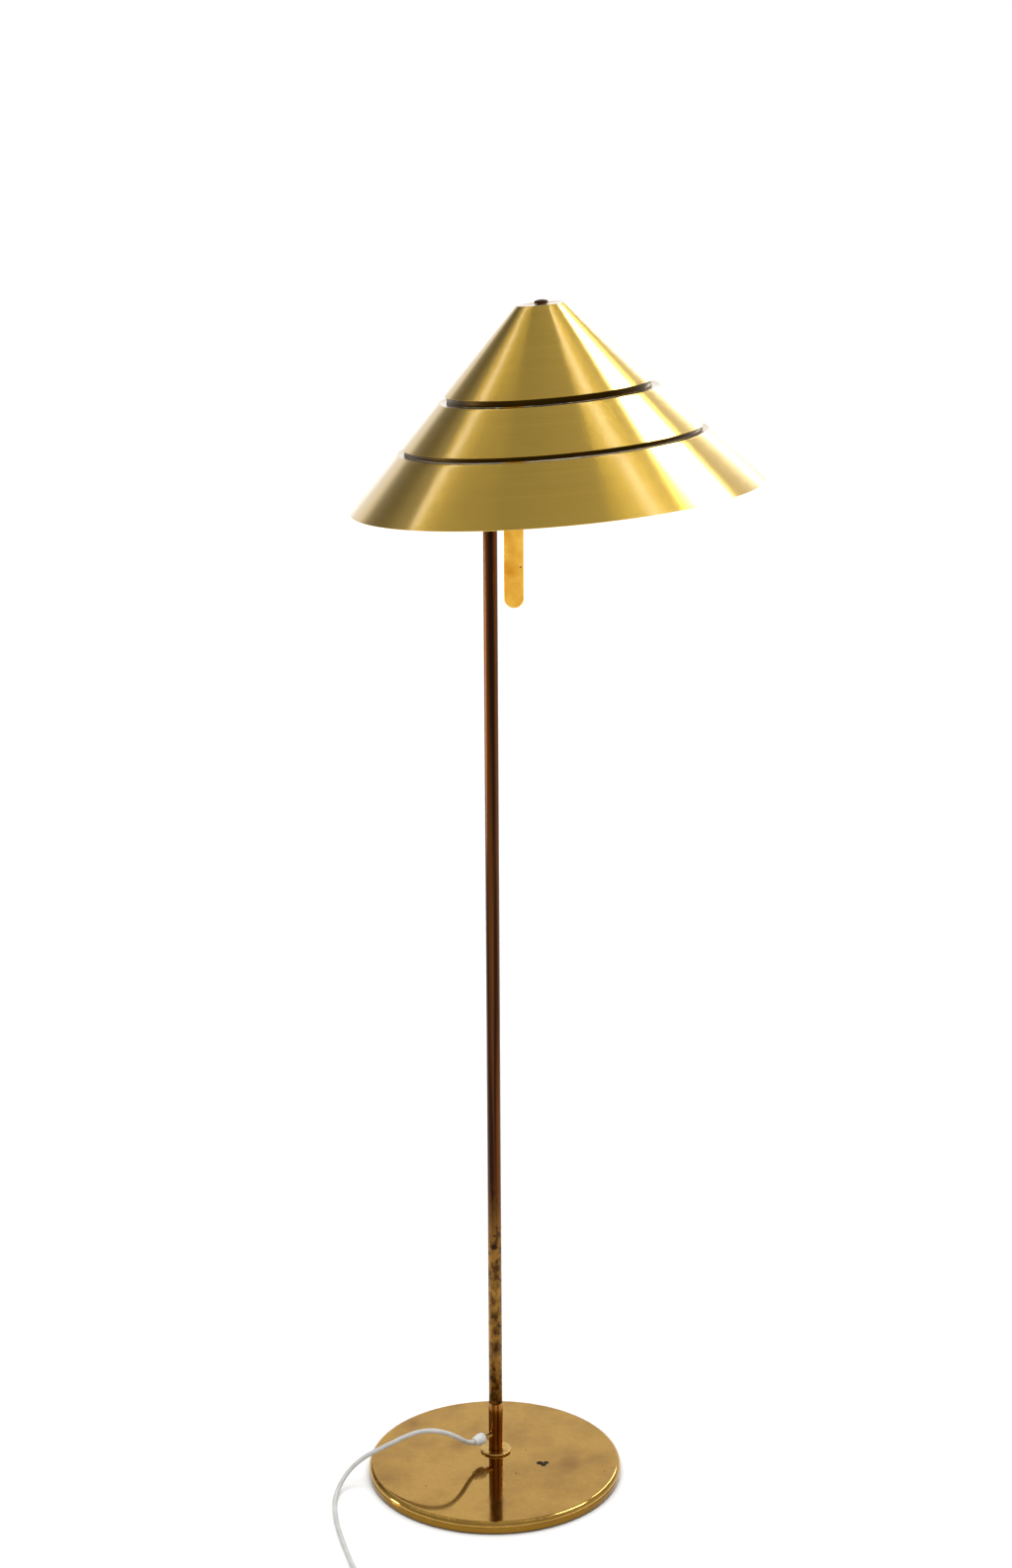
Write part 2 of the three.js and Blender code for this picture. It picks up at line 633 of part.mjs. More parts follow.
function addShade(group) {
  const { top, middle, lower } = TIER_RADII;
  const upperLedge = top[1] - NECK_INSET - LEDGE_REACH;
  const lowerLedge = middle[1] - NECK_INSET - LEDGE_REACH;
  const washerTop = -SHADE_TOP_DOWN - SHEET_T - GAP;
  const holderTop = -TAB_DOWN - BRACKET_T;
  piece(group, 'shade_top_tier', topTier(), BRASS_SATIN);
  piece(group, 'shade_neck_upper', neckRing(top, middle), BRASS_DARK);
  piece(group, 'shade_middle_tier', ledgedTier(middle, upperLedge), BRASS_SATIN);
  piece(group, 'shade_neck_lower', neckRing(middle, lower), BRASS_DARK);
  piece(group, 'shade_lower_tier', ledgedTier(lower, lowerLedge), BRASS_SATIN);
  piece(group, 'shade_washer', ring(STUD_CLEAR_R, 20, washerTop - 1.2, washerTop), STEEL);
  piece(group, 'shade_nut', hexNut(17, STUD_CLEAR_R, washerTop - 6, washerTop - 1.5), STEEL);
  piece(group, 'shade_nipple', ring(NIPPLE_BORE_R, NIPPLE_R, holderTop - 5,
    -SHADE_TOP_DOWN + 2.4, SMALL), STEEL);
  piece(group, 'finial_nut', finialNut(), BRONZE);
  piece(group, 'holder_locknut', hexNut(14, STUD_CLEAR_R, GAP - TAB_DOWN, 4.3 - TAB_DOWN), STEEL);
  piece(group, 'holder_cap', holderCap(), BAKELITE);
  piece(group, 'holder_shell', holderShell(), BAKELITE);
  piece(group, 'holder_insulator', bar(16.8, -100, -89), PORCELAIN);
  piece(group, 'holder_thread', ring(13.5, 14.5, -121, -100.3), BRASS_POLISHED);
  piece(group, 'bulb_cap', bulbCap(), STEEL);
  piece(group, 'bulb_glass', bulbGlass(), OPAL);
}

// Turn key of the lampholder switch: a short shaft, a collar and a flat paddle, along +X.
function switchKey() {
  const reach = HOLDER_R + 0.6;
  const shaft = toSolid(bar(2, HOLDER_R - HOLDER_WALL - 1.5, reach + 1, 12).rotateY(Math.PI / 2));
  const collar = toSolid(bar(4.6, reach, reach + 3, 16).rotateY(Math.PI / 2));
  const paddle = toSolid(box([reach + 2, -1.4, -6.5], [reach + 11, 1.4, 6.5]));
  return toGeometry(shaft.add(collar).add(paddle));
}

// ---- Assembly ----

const lamp = new THREE.Group();
addBase(lamp);

const pole = new THREE.Group();
pole.position.set(POLE_X, POLE_Y, 0);
lamp.add(pole);
addPole(pole);
addCord(pole);

const head = new THREE.Group();
head.rotation.z = HEAD_TURN;
pole.add(head);
addSwivel(head);
addTiltingParts(head);

const shade = new THREE.Group();
shade.position.copy(APEX);
shade.rotation.y = SHADE_LEAN;
head.add(shade);
addShade(shade);
piece(shade, 'switch_key', switchKey(), BAKELITE).position.z = -83.5;

export default lamp;
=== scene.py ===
"""Looks of a brass floor lamp: round weighted base, straight pole and three-tier spun shade on a grip strip.

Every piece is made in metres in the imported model's frame. Rings are profiles turned about Z, flat plates are
outlines with rounded edges, and leads are round sections carried along a curve.
"""
import json
import math

import bpy
import numpy as np
from mathutils import Matrix, Vector


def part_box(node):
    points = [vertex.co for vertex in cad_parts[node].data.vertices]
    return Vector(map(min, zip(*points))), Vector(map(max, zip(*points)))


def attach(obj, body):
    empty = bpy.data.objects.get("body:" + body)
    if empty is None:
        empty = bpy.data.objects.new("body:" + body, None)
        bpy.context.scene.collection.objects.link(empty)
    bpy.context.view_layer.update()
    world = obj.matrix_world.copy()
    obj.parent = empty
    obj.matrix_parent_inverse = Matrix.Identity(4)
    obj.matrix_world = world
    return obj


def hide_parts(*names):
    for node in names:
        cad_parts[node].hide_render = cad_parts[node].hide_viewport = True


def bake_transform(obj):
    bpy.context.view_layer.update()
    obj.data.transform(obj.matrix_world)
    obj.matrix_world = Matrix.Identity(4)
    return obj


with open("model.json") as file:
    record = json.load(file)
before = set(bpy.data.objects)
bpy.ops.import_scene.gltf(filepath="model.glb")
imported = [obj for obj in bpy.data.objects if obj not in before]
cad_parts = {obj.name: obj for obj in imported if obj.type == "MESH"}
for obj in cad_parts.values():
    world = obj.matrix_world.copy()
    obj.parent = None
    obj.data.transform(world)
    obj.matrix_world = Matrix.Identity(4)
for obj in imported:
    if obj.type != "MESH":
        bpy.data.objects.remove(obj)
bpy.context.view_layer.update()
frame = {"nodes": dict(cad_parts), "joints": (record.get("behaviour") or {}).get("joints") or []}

MM = 0.001
FINE = 240    # faces round a large ring
MEDIUM = 96   # faces round a tube or a holder ring
SMALL = 48    # faces round a screw or a pin


# ---- Frames of the swivelled head and the leaning shade, from the joints ----

def mm(*points):
    """Points given in millimetres, as an array in metres."""
    return np.array(points, float) * MM


def joint(name):
    return next(j for j in frame["joints"] if j["name"] == name)


def axes_matrix(x, y, z, origin):
    """The matrix whose columns are three unit directions and a place."""
    columns = [[*x, 0], [*y, 0], [*z, 0], [*origin, 1]]
    return Matrix(columns).transposed()


pole_x, pole_y = joint("head_swivel")["pos_m"][:2]
POLE = Matrix.Translation((pole_x, pole_y, 0))
across = Vector(joint("shade_tilt")["axis"]).normalized()
HEAD = axes_matrix(across.cross(Vector((0, 0, 1))), across, (0, 0, 1), (pole_x, pole_y, 0))

KEY_DOWN = 83.5 * MM  # the switch key's height, down from the cone's point
key_way = Vector(joint("switch_turn")["axis"]).normalized()
shade_up = key_way.cross(across).normalized()
shade_point = Vector(joint("switch_turn")["pos_m"]) + KEY_DOWN * shade_up
SHADE = axes_matrix(key_way, across, shade_up, shade_point)


# ---- Sizes, from the frame where a node gives them ----

def size_of(node):
    """Lowest and highest corner of a node as arrays."""
    low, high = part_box(node)
    return np.array(low), np.array(high)


base_low, base_high = size_of("base_cover")
BASE_R = (base_high[0] - base_low[0]) / 2
BASE_TOP = base_high[2]
COVER_LOW = base_low[2]
COVER_WALL = 1.2 * MM
SHOULDER_R = 5.5 * MM
GROOVE = 0.6 * MM
PAD_R = 147.6 * MM
PAD_T = size_of("base_pad")[1][2]
STEM_R = 8.5 * MM
POLE_R = 8 * MM
POLE_BORE_R = 6.9 * MM
STEM_LOW, STEM_TOP = (size_of("lower_stem")[i][2] for i in (0, 1))
POLE_LOW, POLE_TOP = (size_of("pole_tube")[i][2] for i in (0, 1))
FLANGE_LOW, FLANGE_TOP = (size_of("foot_flange")[i][2] for i in (0, 1))
FLANGE_R = 18.5 * MM
STUD_CLEAR_R = 5.3 * MM

SPIGOT_TURN = math.radians(220.5)
SPIGOT_Z = 37.6 * MM
SPIGOT_R = 3.8 * MM
SPIGOT_BORE_R = 3.1 * MM
SPIGOT_START, SPIGOT_END = 6 * MM, 19.7 * MM  # from the pole's axis
GRIP_START, GRIP_CONE, GRIP_END = 20 * MM, 27 * MM, 34.5 * MM
GRIP_RIBS = 24
GRIP_RIB_H = 0.22 * MM

CORD_R = 2.75 * MM
LEAD_R = 2.2 * MM

PIVOT_X = 29.6 * MM
PIVOT_Z = joint("shade_tilt")["pos_m"][2]
STRIP_W = 22 * MM
STRIP_T = 4 * MM
STRIP_FRONT = -14.3 * MM
STRIP_LOW, STRIP_TOP = (size_of("grip_strip")[i][2] for i in (0, 1))
RIVET_HEIGHTS = {"bracket_rivet_lower": 1.318, "bracket_rivet_upper": 1.333}

CONE_SLOPE = 0.9667  # radius gained for each metre down from the cone's point
SHEET_T = 0.9 * MM
SHEET_ACROSS = SHEET_T * math.sqrt(1 + CONE_SLOPE ** 2)
TIERS = {
    "shade_top_tier": (27.5 * MM, 113.9 * MM),
    "shade_middle_tier": (120.7 * MM, 164.7 * MM),
    "shade_lower_tier": (169.8 * MM, 227.8 * MM),
}
NECK_INSET = 2.8 * MM
NECK_T = 1 * MM
LEDGE_REACH = 2.6 * MM
HOLDER_R = 19.5 * MM
SHADE_TOP_DOWN = TIERS["shade_top_tier"][0] / CONE_SLOPE
TAB_DOWN = 62 * MM


# ---- Camera ----

CAMERA_PLACE = (0.0015, -3.049, 1.684)
CAMERA_TURNS = (15.28, 0.30, -0.29)  # degrees down, to the right, and of roll
CAMERA_LENS = 64.94


def make_camera():
    """A standing eye in front of the lamp, looking a little down."""
    pitch, yaw, roll = (math.radians(a) for a in CAMERA_TURNS)
    forward = Vector((math.sin(yaw) * math.cos(pitch), math.cos(yaw) * math.cos(pitch), -math.sin(pitch)))
    level = Vector((math.cos(yaw), -math.sin(yaw), 0))
    above = level.cross(forward)
    right = math.cos(roll) * level + math.sin(roll) * above
    up = math.cos(roll) * above - math.sin(roll) * level
    data = bpy.data.cameras.new("camera")
    data.lens = CAMERA_LENS
    data.sensor_width = 36
    data.clip_end = 400
    camera = bpy.data.objects.new("camera", data)
    camera.matrix_world = axes_matrix(right, up, -forward, CAMERA_PLACE)
    bpy.context.scene.collection.objects.link(camera)
    bpy.context.scene.camera = camera


make_camera()


# ---- Nodes and materials ----

def linear(code):
    """An sRGB hex colour as linear red, green, blue and a full alpha."""
    parts = [int(code[i:i + 2], 16) / 255 for i in (1, 3, 5)]
    return [p / 12.92 if p <= 0.04045 else ((p + 0.055) / 1.055) ** 2.4 for p in parts] + [1.0]


def add(tree, kind, inputs=None, **settings):
    """Adds a node with its settings, and fills its inputs with values, sockets or nodes' first used outputs.

    A Mix has its share at 0, its two numbers at 2 and 3, and its two colours at 6 and 7. A Map Range has its
    value at 0, the range it comes from at 1 and 2, and the range it goes to at 3 and 4.
    """
    new = tree.nodes.new("ShaderNode" + kind)
    for name, value in settings.items():
        setattr(new, name, value)
    for name, value in (inputs or {}).items():
        if isinstance(value, bpy.types.Node):
            value = next(output for output in value.outputs if output.enabled)
        if isinstance(value, bpy.types.NodeSocket):
            tree.links.new(value, new.inputs[name])
        else:
            new.inputs[name].default_value = value
    return new


def new_material(name):
    """An empty material, its node tree and the place on the object."""
    material = bpy.data.materials.new(name)
    material.use_nodes = True
    tree = material.node_tree
    tree.nodes.clear()
    return material, tree, add(tree, "TexCoord").outputs["Object"]


def shaded(material, **inputs):
    """Gives the material a Principled shader, whose inputs are named with _ for a space."""
    tree = material.node_tree
    shader = add(tree, "BsdfPrincipled", {name.replace("_", " "): value for name, value in inputs.items()})
    add(tree, "OutputMaterial", {"Surface": shader})
    return material


def spun_satin_brass():
    """Brass sheet spun over a cone and brushed round it: fine rings, and gloss drawn out down the slope."""
    material, tree, place = new_material("spun_satin_brass")
    slope = add(tree, "SeparateXYZ", {0: add(tree, "UVMap", uv_map="turn")})
    # brush rings about 0.3 mm apart, drawn 1.1 mm apart so that they show
    fine = add(tree, "TexNoise", {"W": slope, "Scale": 1 / (1.1 * MM), "Detail": 2.0}, noise_dimensions="1D")
    broad = add(tree, "TexNoise", {"W": slope, "Scale": 1 / (9 * MM), "Detail": 3.0}, noise_dimensions="1D")
    smudge = add(tree, "TexNoise", {"Vector": place, "Scale": 1 / (70 * MM), "Detail": 4.0})
    ring_tone = add(tree, "Mix", {0: 0.3, 2: fine, 3: broad}, data_type="FLOAT")
    rings = add(tree, "MapRange", {0: ring_tone, 1: 0.35, 2: 0.65})
    tone = add(tree, "Mix", {0: rings, 6: linear("#D4AA2C"), 7: linear("#DFB73C")}, data_type="RGBA")
    aged = add(tree, "MapRange", {0: smudge, 1: 0.48, 2: 0.72, 3: 0.0, 4: 0.5})
    colour = add(tree, "Mix", {0: aged, 6: tone, 7: linear("#CCA332")}, data_type="RGBA")
    waves = add(tree, "TexNoise", {"Vector": place, "Scale": 1 / (110 * MM), "Detail": 1.0})
    wave_bump = add(tree, "Bump", {"Strength": 1.0, "Distance": 0.5 * MM, "Height": waves})
    ring_bump = add(tree, "Bump", {"Strength": 0.2, "Distance": 0.02 * MM, "Height": fine,
                                   "Normal": wave_bump})
    tangent = add(tree, "Tangent", direction_type="UV_MAP", uv_map="turn")
    return shaded(material, Metallic=1.0, Roughness=0.23, Anisotropic=0.78, Coat_Weight=1.0, Coat_IOR=1.6,
                  Coat_Roughness=0.14, Base_Color=colour, Normal=ring_bump, Tangent=tangent)


def white_lacquer():
    """White baked lacquer inside the shade: smooth, slightly warm, half gloss."""
    material, tree, place = new_material("white_lacquer")
    orange_peel = add(tree, "TexNoise", {"Vector": place, "Scale": 1 / (3 * MM), "Detail": 1.0})
    warm = add(tree, "TexNoise", {"Vector": place, "Scale": 1 / (60 * MM), "Detail": 3.0})
    colour = add(tree, "Mix", {0: warm, 6: linear("#F1ECDD"), 7: linear("#F8F5EA")}, data_type="RGBA")
    bump = add(tree, "Bump", {"Strength": 0.15, "Distance": 0.05 * MM, "Height": orange_peel})
    return shaded(material, Roughness=0.35, Coat_Weight=0.2, Base_Color=colour, Normal=bump)


def spot_mask(tree, place, centre, radius, soft):
    """1 inside a round spot on the surface and 0 outside it, with a soft edge."""
    away = add(tree, "VectorMath", {0: place, 1: centre}, operation="DISTANCE")
    return add(tree, "MapRange", {0: away, 1: radius - soft, 2: radius + soft, 3: 1.0, 4: 0.0})


# Worn places on the base's top face: centre from the base's middle, radius and softness of each, in mm
PLATING_CHIPS = [
    ((53.6, -10.8), 4.2, 0.6),
    ((57.6, -15.6), 3.4, 0.6),
    ((61.2, -10.2), 3.4, 0.6),
    ((24.8, -35.0), 1.0, 0.4),
    ((37.3, 22.1), 0.9, 0.4),
    ((-81.0, -63.6), 0.9, 0.4),
    ((130.0, -32.0), 0.9, 0.4),
]
TARNISH_PATCHES = [
    ((93.0, -17.0), 13, 12),
    ((125.0, -4.0), 11, 10),
    ((-97.0, 90.0), 12, 11),
    ((-132.0, -46.0), 12, 11),
    ((-42.0, 36.0), 10, 9),
]


def polished_brass_base():
    """Polished brass plate handled for years: near mirror, cloudy tarnish, a few chips down to dark metal."""
    material, tree, place = new_material("polished_brass_base")
    # the clouds are 15 to 150 mm across, and the grain left by polishing 2 mm
    cloud = add(tree, "TexNoise", {"Vector": place, "Scale": 1 / (55 * MM), "Detail": 8.0, "Roughness": 0.62})
    grain = add(tree, "TexNoise", {"Vector": place, "Scale": 1 / (4 * MM), "Detail": 3.0, "Roughness": 0.7})
    pepper = add(tree, "TexNoise", {"Vector": place, "Scale": 1 / (2.2 * MM), "Detail": 1.0})
    clouds = add(tree, "MapRange", {0: cloud, 1: 0.42, 2: 0.68})
    tone = add(tree, "Mix", {0: clouds, 6: linear("#C59B4C"), 7: linear("#AC8340")}, data_type="RGBA")
    grains = add(tree, "MapRange", {0: grain, 1: 0.35, 2: 0.7, 3: 0.0, 4: 0.3})
    colour = add(tree, "Mix", {0: grains, 6: tone, 7: linear("#A67B3A")}, data_type="RGBA")
    for (x, y), radius, soft in TARNISH_PATCHES:
        patch = spot_mask(tree, place, (x * MM, y * MM, BASE_TOP), radius * MM, soft * MM)
        broken = add(tree, "Math", {0: patch, 1: cloud}, operation="MULTIPLY")
        colour = add(tree, "Mix", {0: broken, 6: colour, 7: linear("#8A6430")}, data_type="RGBA")
    # the grain moves each point by up to 1.2 mm either way, so that a chip's edge is ragged
    ragged = add(tree, "VectorMath", {0: grain.outputs["Color"], 1: (2.4 * MM,) * 3, 2: place},
                 operation="MULTIPLY_ADD")
    shifted = add(tree, "VectorMath", {0: ragged, 1: (1.2 * MM,) * 3}, operation="SUBTRACT")
    dull = 0.0
    for (x, y), radius, soft in PLATING_CHIPS:
        chip = spot_mask(tree, shifted, (x * MM, y * MM, BASE_TOP), radius * MM, soft * MM)
        colour = add(tree, "Mix", {0: chip, 6: colour, 7: linear("#2E2213")}, data_type="RGBA")
        dull = add(tree, "Math", {0: dull, 1: chip}, operation="MAXIMUM")
    specks = add(tree, "MapRange", {0: pepper, 1: 0.73, 2: 0.78, 3: 0.0, 4: 0.5})
    colour = add(tree, "Mix", {0: specks, 6: colour, 7: linear("#5A401C")}, data_type="RGBA")
    # painted shade: the band round the side is coloured darker, for the dimmer surroundings it mirrors
    height = add(tree, "SeparateXYZ", {0: place}).outputs["Z"]
    side = add(tree, "MapRange", {0: height, 1: BASE_TOP - 7.5 * MM, 2: BASE_TOP - 5 * MM, 3: 0.85, 4: 0.0})
    colour = add(tree, "Mix", {0: side, 6: colour, 7: linear("#7C5A1A")}, data_type="RGBA")
    rough = add(tree, "MapRange", {0: cloud, 1: 0.38, 2: 0.7, 3: 0.05, 4: 0.13})
    rougher = add(tree, "Mix", {0: dull, 2: rough, 3: 0.6}, data_type="FLOAT")
    bump = add(tree, "Bump", {"Strength": 0.1, "Distance": 0.03 * MM, "Height": grain})
    return shaded(material, Metallic=1.0, Base_Color=colour, Roughness=rougher, Normal=bump)


def polished_brass_fittings():
    """Turned and polished brass of small fittings: bright, with a little tarnish in patches."""
    material, tree, place = new_material("polished_brass_fittings")
    cloud = add(tree, "TexNoise", {"Vector": place, "Scale": 1 / (12 * MM), "Detail": 5.0})
    clouds = add(tree, "MapRange", {0: cloud, 1: 0.4, 2: 0.7})
    colour = add(tree, "Mix", {0: clouds, 6: linear("#D2AC62"), 7: linear("#AD8642")}, data_type="RGBA")
    rough = add(tree, "MapRange", {0: cloud, 1: 0.35, 2: 0.7, 3: 0.12, 4: 0.26})
    return shaded(material, Metallic=1.0, Base_Color=colour, Roughness=rough)


def dark_drawn_brass():
    """Drawn brass tube gone brown: dark and smooth above, tan and blotchy in its lowest third, which is partly
    real patina and partly a painted reflection of the pale floor.
    """
    material, tree, place = new_material("dark_drawn_brass")
    height = add(tree, "SeparateXYZ", {0: place}).outputs["Z"]
    smooth = {"interpolation_type": "SMOOTHSTEP"}
    # blotches 8 to 15 mm long, pits 2 mm, drawing lines along the tube, and painted reflections as 5 mm
    # stripes along it
    stretch = add(tree, "Mapping", {"Vector": place, "Scale": (1.0, 1.0, 0.55)})
    blotch = add(tree, "TexNoise", {"Vector": stretch, "Scale": 1 / (8 * MM), "Detail": 6.0,
                                    "Roughness": 0.7})
    uneven_tan = add(tree, "MapRange", {0: blotch, 1: 0.4, 2: 0.6})
    pits = add(tree, "TexNoise", {"Vector": place, "Scale": 1 / (5 * MM), "Detail": 3.0})
    lines = add(tree, "Mapping", {"Vector": place, "Scale": (1.0, 1.0, 0.01)})
    drawn = add(tree, "TexNoise", {"Vector": lines, "Scale": 1 / (1.2 * MM), "Detail": 2.0})
    reflection_stripes = add(tree, "TexNoise", {"Vector": lines, "Scale": 1 / (5 * MM), "Detail": 2.0})
    # painted reflection: lighter and darker stripes along the tube stand for the surroundings it mirrors
    reflection_streak = add(tree, "MapRange", {0: reflection_stripes, 1: 0.4, 2: 0.6})
    wander = add(tree, "Math", {0: blotch, 1: 0.16, 2: height}, operation="MULTIPLY_ADD")
    # partly real patina, partly painted reflection: the lowest third turns tan, as the pale floor it mirrors
    low_patina_and_floor_sheen = add(tree, "MapRange", {0: wander, 1: 0.33, 2: 0.45, 3: 1.0, 4: 0.0}, **smooth)
    dark = add(tree, "Mix", {0: reflection_streak, 6: linear("#240E02"), 7: linear("#5E3209")}, data_type="RGBA")
    tan = add(tree, "Mix", {0: uneven_tan, 6: linear("#40280A"), 7: linear("#9C7030")}, data_type="RGBA")
    tone = add(tree, "Mix", {0: low_patina_and_floor_sheen, 6: dark, 7: tan}, data_type="RGBA")
    spots = add(tree, "MapRange", {0: pits, 1: 0.6, 2: 0.68})
    # the pits show in a band from 0.2 to 0.42 m up
    band_foot = add(tree, "MapRange", {0: height, 1: 0.2, 2: 0.26, 3: 0.0, 4: 1.0}, **smooth)
    band_top = add(tree, "MapRange", {0: height, 1: 0.3, 2: 0.42, 3: 1.0, 4: 0.0}, **smooth)
    band = add(tree, "Math", {0: band_foot, 1: band_top}, operation="MULTIPLY")
    spotted = add(tree, "Math", {0: spots, 1: band}, operation="MULTIPLY")
    pitted = add(tree, "Mix", {0: spotted, 6: tone, 7: linear("#2C1806")}, data_type="RGBA")
    mark = spot_mask(tree, place, (pole_x - 1 * MM, pole_y - POLE_R, 0.283), 3.2 * MM, 1.5 * MM)
    colour = add(tree, "Mix", {0: mark, 6: pitted, 7: linear("#1E1206")}, data_type="RGBA")
    rough = add(tree, "Mix", {0: low_patina_and_floor_sheen, 2: 0.14, 3: 0.36}, data_type="FLOAT")
    uneven = add(tree, "MapRange", {0: blotch, 1: 0.3, 2: 0.7, 3: -0.05, 4: 0.08})
    total = add(tree, "Math", {0: rough, 1: uneven}, operation="ADD")
    bump = add(tree, "Bump", {"Strength": 0.15, "Distance": 0.04 * MM, "Height": drawn})
    return shaded(material, Metallic=1.0, Coat_Weight=0.12, Coat_Roughness=0.05, Base_Color=colour,
                  Roughness=total, Normal=bump)


def stem_brass():
    """Brass of the short lower stem: kept brown by lacquer, smooth and very glossy, with painted reflections
    as dark and orange stripes along it.
    """
    material, tree, place = new_material("stem_brass")
    cloud = add(tree, "TexNoise", {"Vector": place, "Scale": 1 / (14 * MM), "Detail": 4.0})
    lines = add(tree, "Mapping", {"Vector": place, "Scale": (1.0, 1.0, 0.02)})
    reflection_stripes = add(tree, "TexNoise", {"Vector": lines, "Scale": 1 / (5 * MM), "Detail": 2.0})
    # painted reflection: the orange stripes are painted highlights and the dark ones painted dark surroundings
    reflection_streak = add(tree, "MapRange", {0: reflection_stripes, 1: 0.4, 2: 0.6})
    colour = add(tree, "Mix", {0: reflection_streak, 6: linear("#4A2804"), 7: linear("#A8681A")}, data_type="RGBA")
    rough = add(tree, "MapRange", {0: cloud, 1: 0.3, 2: 0.7, 3: 0.1, 4: 0.18})
    return shaded(material, Metallic=1.0, Coat_Weight=0.2, Coat_Roughness=0.08, Base_Color=colour,
                  Roughness=rough)


def neck_brass_in_shade():
    """Brass of the recessed necks, spun: coloured very dark olive brown as painted shade, for the shadow in
    the recess under each tier's edge.
    """
    material, tree, place = new_material("neck_brass_in_shade")
    slope = add(tree, "SeparateXYZ", {0: add(tree, "UVMap", uv_map="turn")})
    rings = add(tree, "TexNoise", {"W": slope, "Scale": 1 / (1.5 * MM), "Detail": 2.0}, noise_dimensions="1D")
    cloud = add(tree, "TexNoise", {"Vector": place, "Scale": 1 / (40 * MM), "Detail": 4.0})
    both = add(tree, "Math", {0: rings, 1: cloud}, operation="MULTIPLY")
    # painted shade: dark olive brown for the shadow in the recess
    colour = add(tree, "Mix", {0: both, 6: linear("#1E1302"), 7: linear("#573F10")}, data_type="RGBA")
    rough = add(tree, "MapRange", {0: cloud, 1: 0.3, 2: 0.7, 3: 0.3, 4: 0.42})
    return shaded(material, Metallic=1.0, Base_Color=colour, Roughness=rough)


def golden_strip_brass():
    """Polished brass strip that hands have kept golden, with brown finger marks along its middle."""
    material, tree, place = new_material("golden_strip_brass")
    blotch = add(tree, "TexNoise", {"Vector": place, "Scale": 1 / (30 * MM), "Detail": 4.0, "Roughness": 0.5})
    blotches = add(tree, "MapRange", {0: blotch, 1: 0.38, 2: 0.7})
    tone = add(tree, "Mix", {0: blotches, 6: linear("#FFC653"), 7: linear("#DE9426")}, data_type="RGBA")
    pit_place = HEAD @ Vector((PIVOT_X + 8.2 * MM, STRIP_FRONT, STRIP_LOW + 46 * MM))
    pit = spot_mask(tree, place, tuple(pit_place), 0.9 * MM, 0.4 * MM)
    colour = add(tree, "Mix", {0: pit, 6: tone, 7: linear("#3A2408")}, data_type="RGBA")
    rough = add(tree, "MapRange", {0: blotch, 1: 0.35, 2: 0.7, 3: 0.16, 4: 0.26})
    return shaded(material, Metallic=1.0, Base_Color=colour, Roughness=rough)


def mottled(name, dark, light, grain, relief, **constants):
    """A material whose colour and relief follow one noise between two tones; grain and relief are in mm."""
    material, tree, place = new_material(name)
    noise = add(tree, "TexNoise", {"Vector": place, "Scale": 1 / (grain * MM), "Detail": 4.0,
                                   "Roughness": 0.6})
    share = add(tree, "MapRange", {0: noise, 1: 0.35, 2: 0.65})
    colour = add(tree, "Mix", {0: share, 6: linear(dark), 7: linear(light)}, data_type="RGBA")
    bump = add(tree, "Bump", {"Strength": 0.5, "Distance": relief * MM, "Height": noise})
    return shaded(material, Base_Color=colour, Normal=bump, **constants)


SPUN_BRASS = spun_satin_brass()
LACQUER = white_lacquer()
BASE_BRASS = polished_brass_base()
FITTING_BRASS = polished_brass_fittings()
POLE_BRASS = dark_drawn_brass()
STEM_BRASS = stem_brass()
NECK_SHADE_BRASS = neck_brass_in_shade()
STRIP_BRASS = golden_strip_brass()
# Bronze of the top nut: darkened by heat and handling
DARK_BRONZE = mottled("dark_bronze", "#35220F", "#5C4128", 3, 0.02, Metallic=1.0, Roughness=0.4)
# Zinc-plated steel: grey with a faint crystal mottling
ZINC_STEEL = mottled("zinc_plated_steel", "#8E9092", "#A9ABAB", 2, 0.01, Metallic=1.0, Roughness=0.34)
# Sand-cast iron: nearly black, dull and rough
CAST_IRON = mottled("sand_cast_iron", "#1E1D1C", "#33312F", 1.5, 0.2, Metallic=1.0, Roughness=0.7)
# Pressed wool felt: black, with no gloss at all
WOOL_FELT = mottled("pressed_wool_felt", "#12100D", "#26221C", 0.8, 0.2, Roughness=0.95, Sheen_Weight=0.3)
# Vulcanised fibre washer: red brown, dull
FIBRE = mottled("vulcanised_fibre", "#3F2418", "#573424", 0.6, 0.03, Roughness=0.7)
# Soft PVC jacket: greyish white, smooth, with a dull shine
PVC_JACKET = mottled("soft_pvc_jacket", "#BDBCB9", "#CAC9C6", 14, 0.02, Roughness=0.42,
                     Specular_IOR_Level=0.45)
# Moulded nylon of the grip and plug: clean white, half gloss
WHITE_NYLON = mottled("moulded_white_nylon", "#D0CFCB", "#DCDBD7", 6, 0.02, Roughness=0.36)
# Phenolic moulding of the lampholder: very dark brown, glossy
PHENOLIC = mottled("phenolic_moulding", "#15100D", "#2A1D16", 5, 0.01, Roughness=0.25, Coat_Weight=0.2)
# Glazed porcelain: cream white under a thick clear glaze
PORCELAIN = mottled("glazed_porcelain", "#E9E4D6", "#F1EDE2", 8, 0.01, Roughness=0.3, Coat_Weight=0.8)
# Opal glass: milky white, lit a little through its thickness
OPAL_GLASS = mottled("opal_glass", "#EFEBE0", "#F7F4EC", 25, 0.005, Roughness=0.16, Subsurface_Weight=0.25,
                     Subsurface_Scale=0.01, Coat_Weight=0.3)


# ---- Making surfaces ----

def finish_piece(mesh, name, place, materials, sharp=35):
    """Puts a mesh in its place, smooths it but for edges over sharp degrees, and links it as an object."""
    mesh.transform(place)
    mesh.shade_smooth()
    mesh.set_sharp_from_angle(angle=math.radians(sharp))
    for material in materials:
        mesh.materials.append(material)
    piece = bpy.data.objects.new(name, mesh)
    bpy.context.scene.collection.objects.link(piece)
    return piece


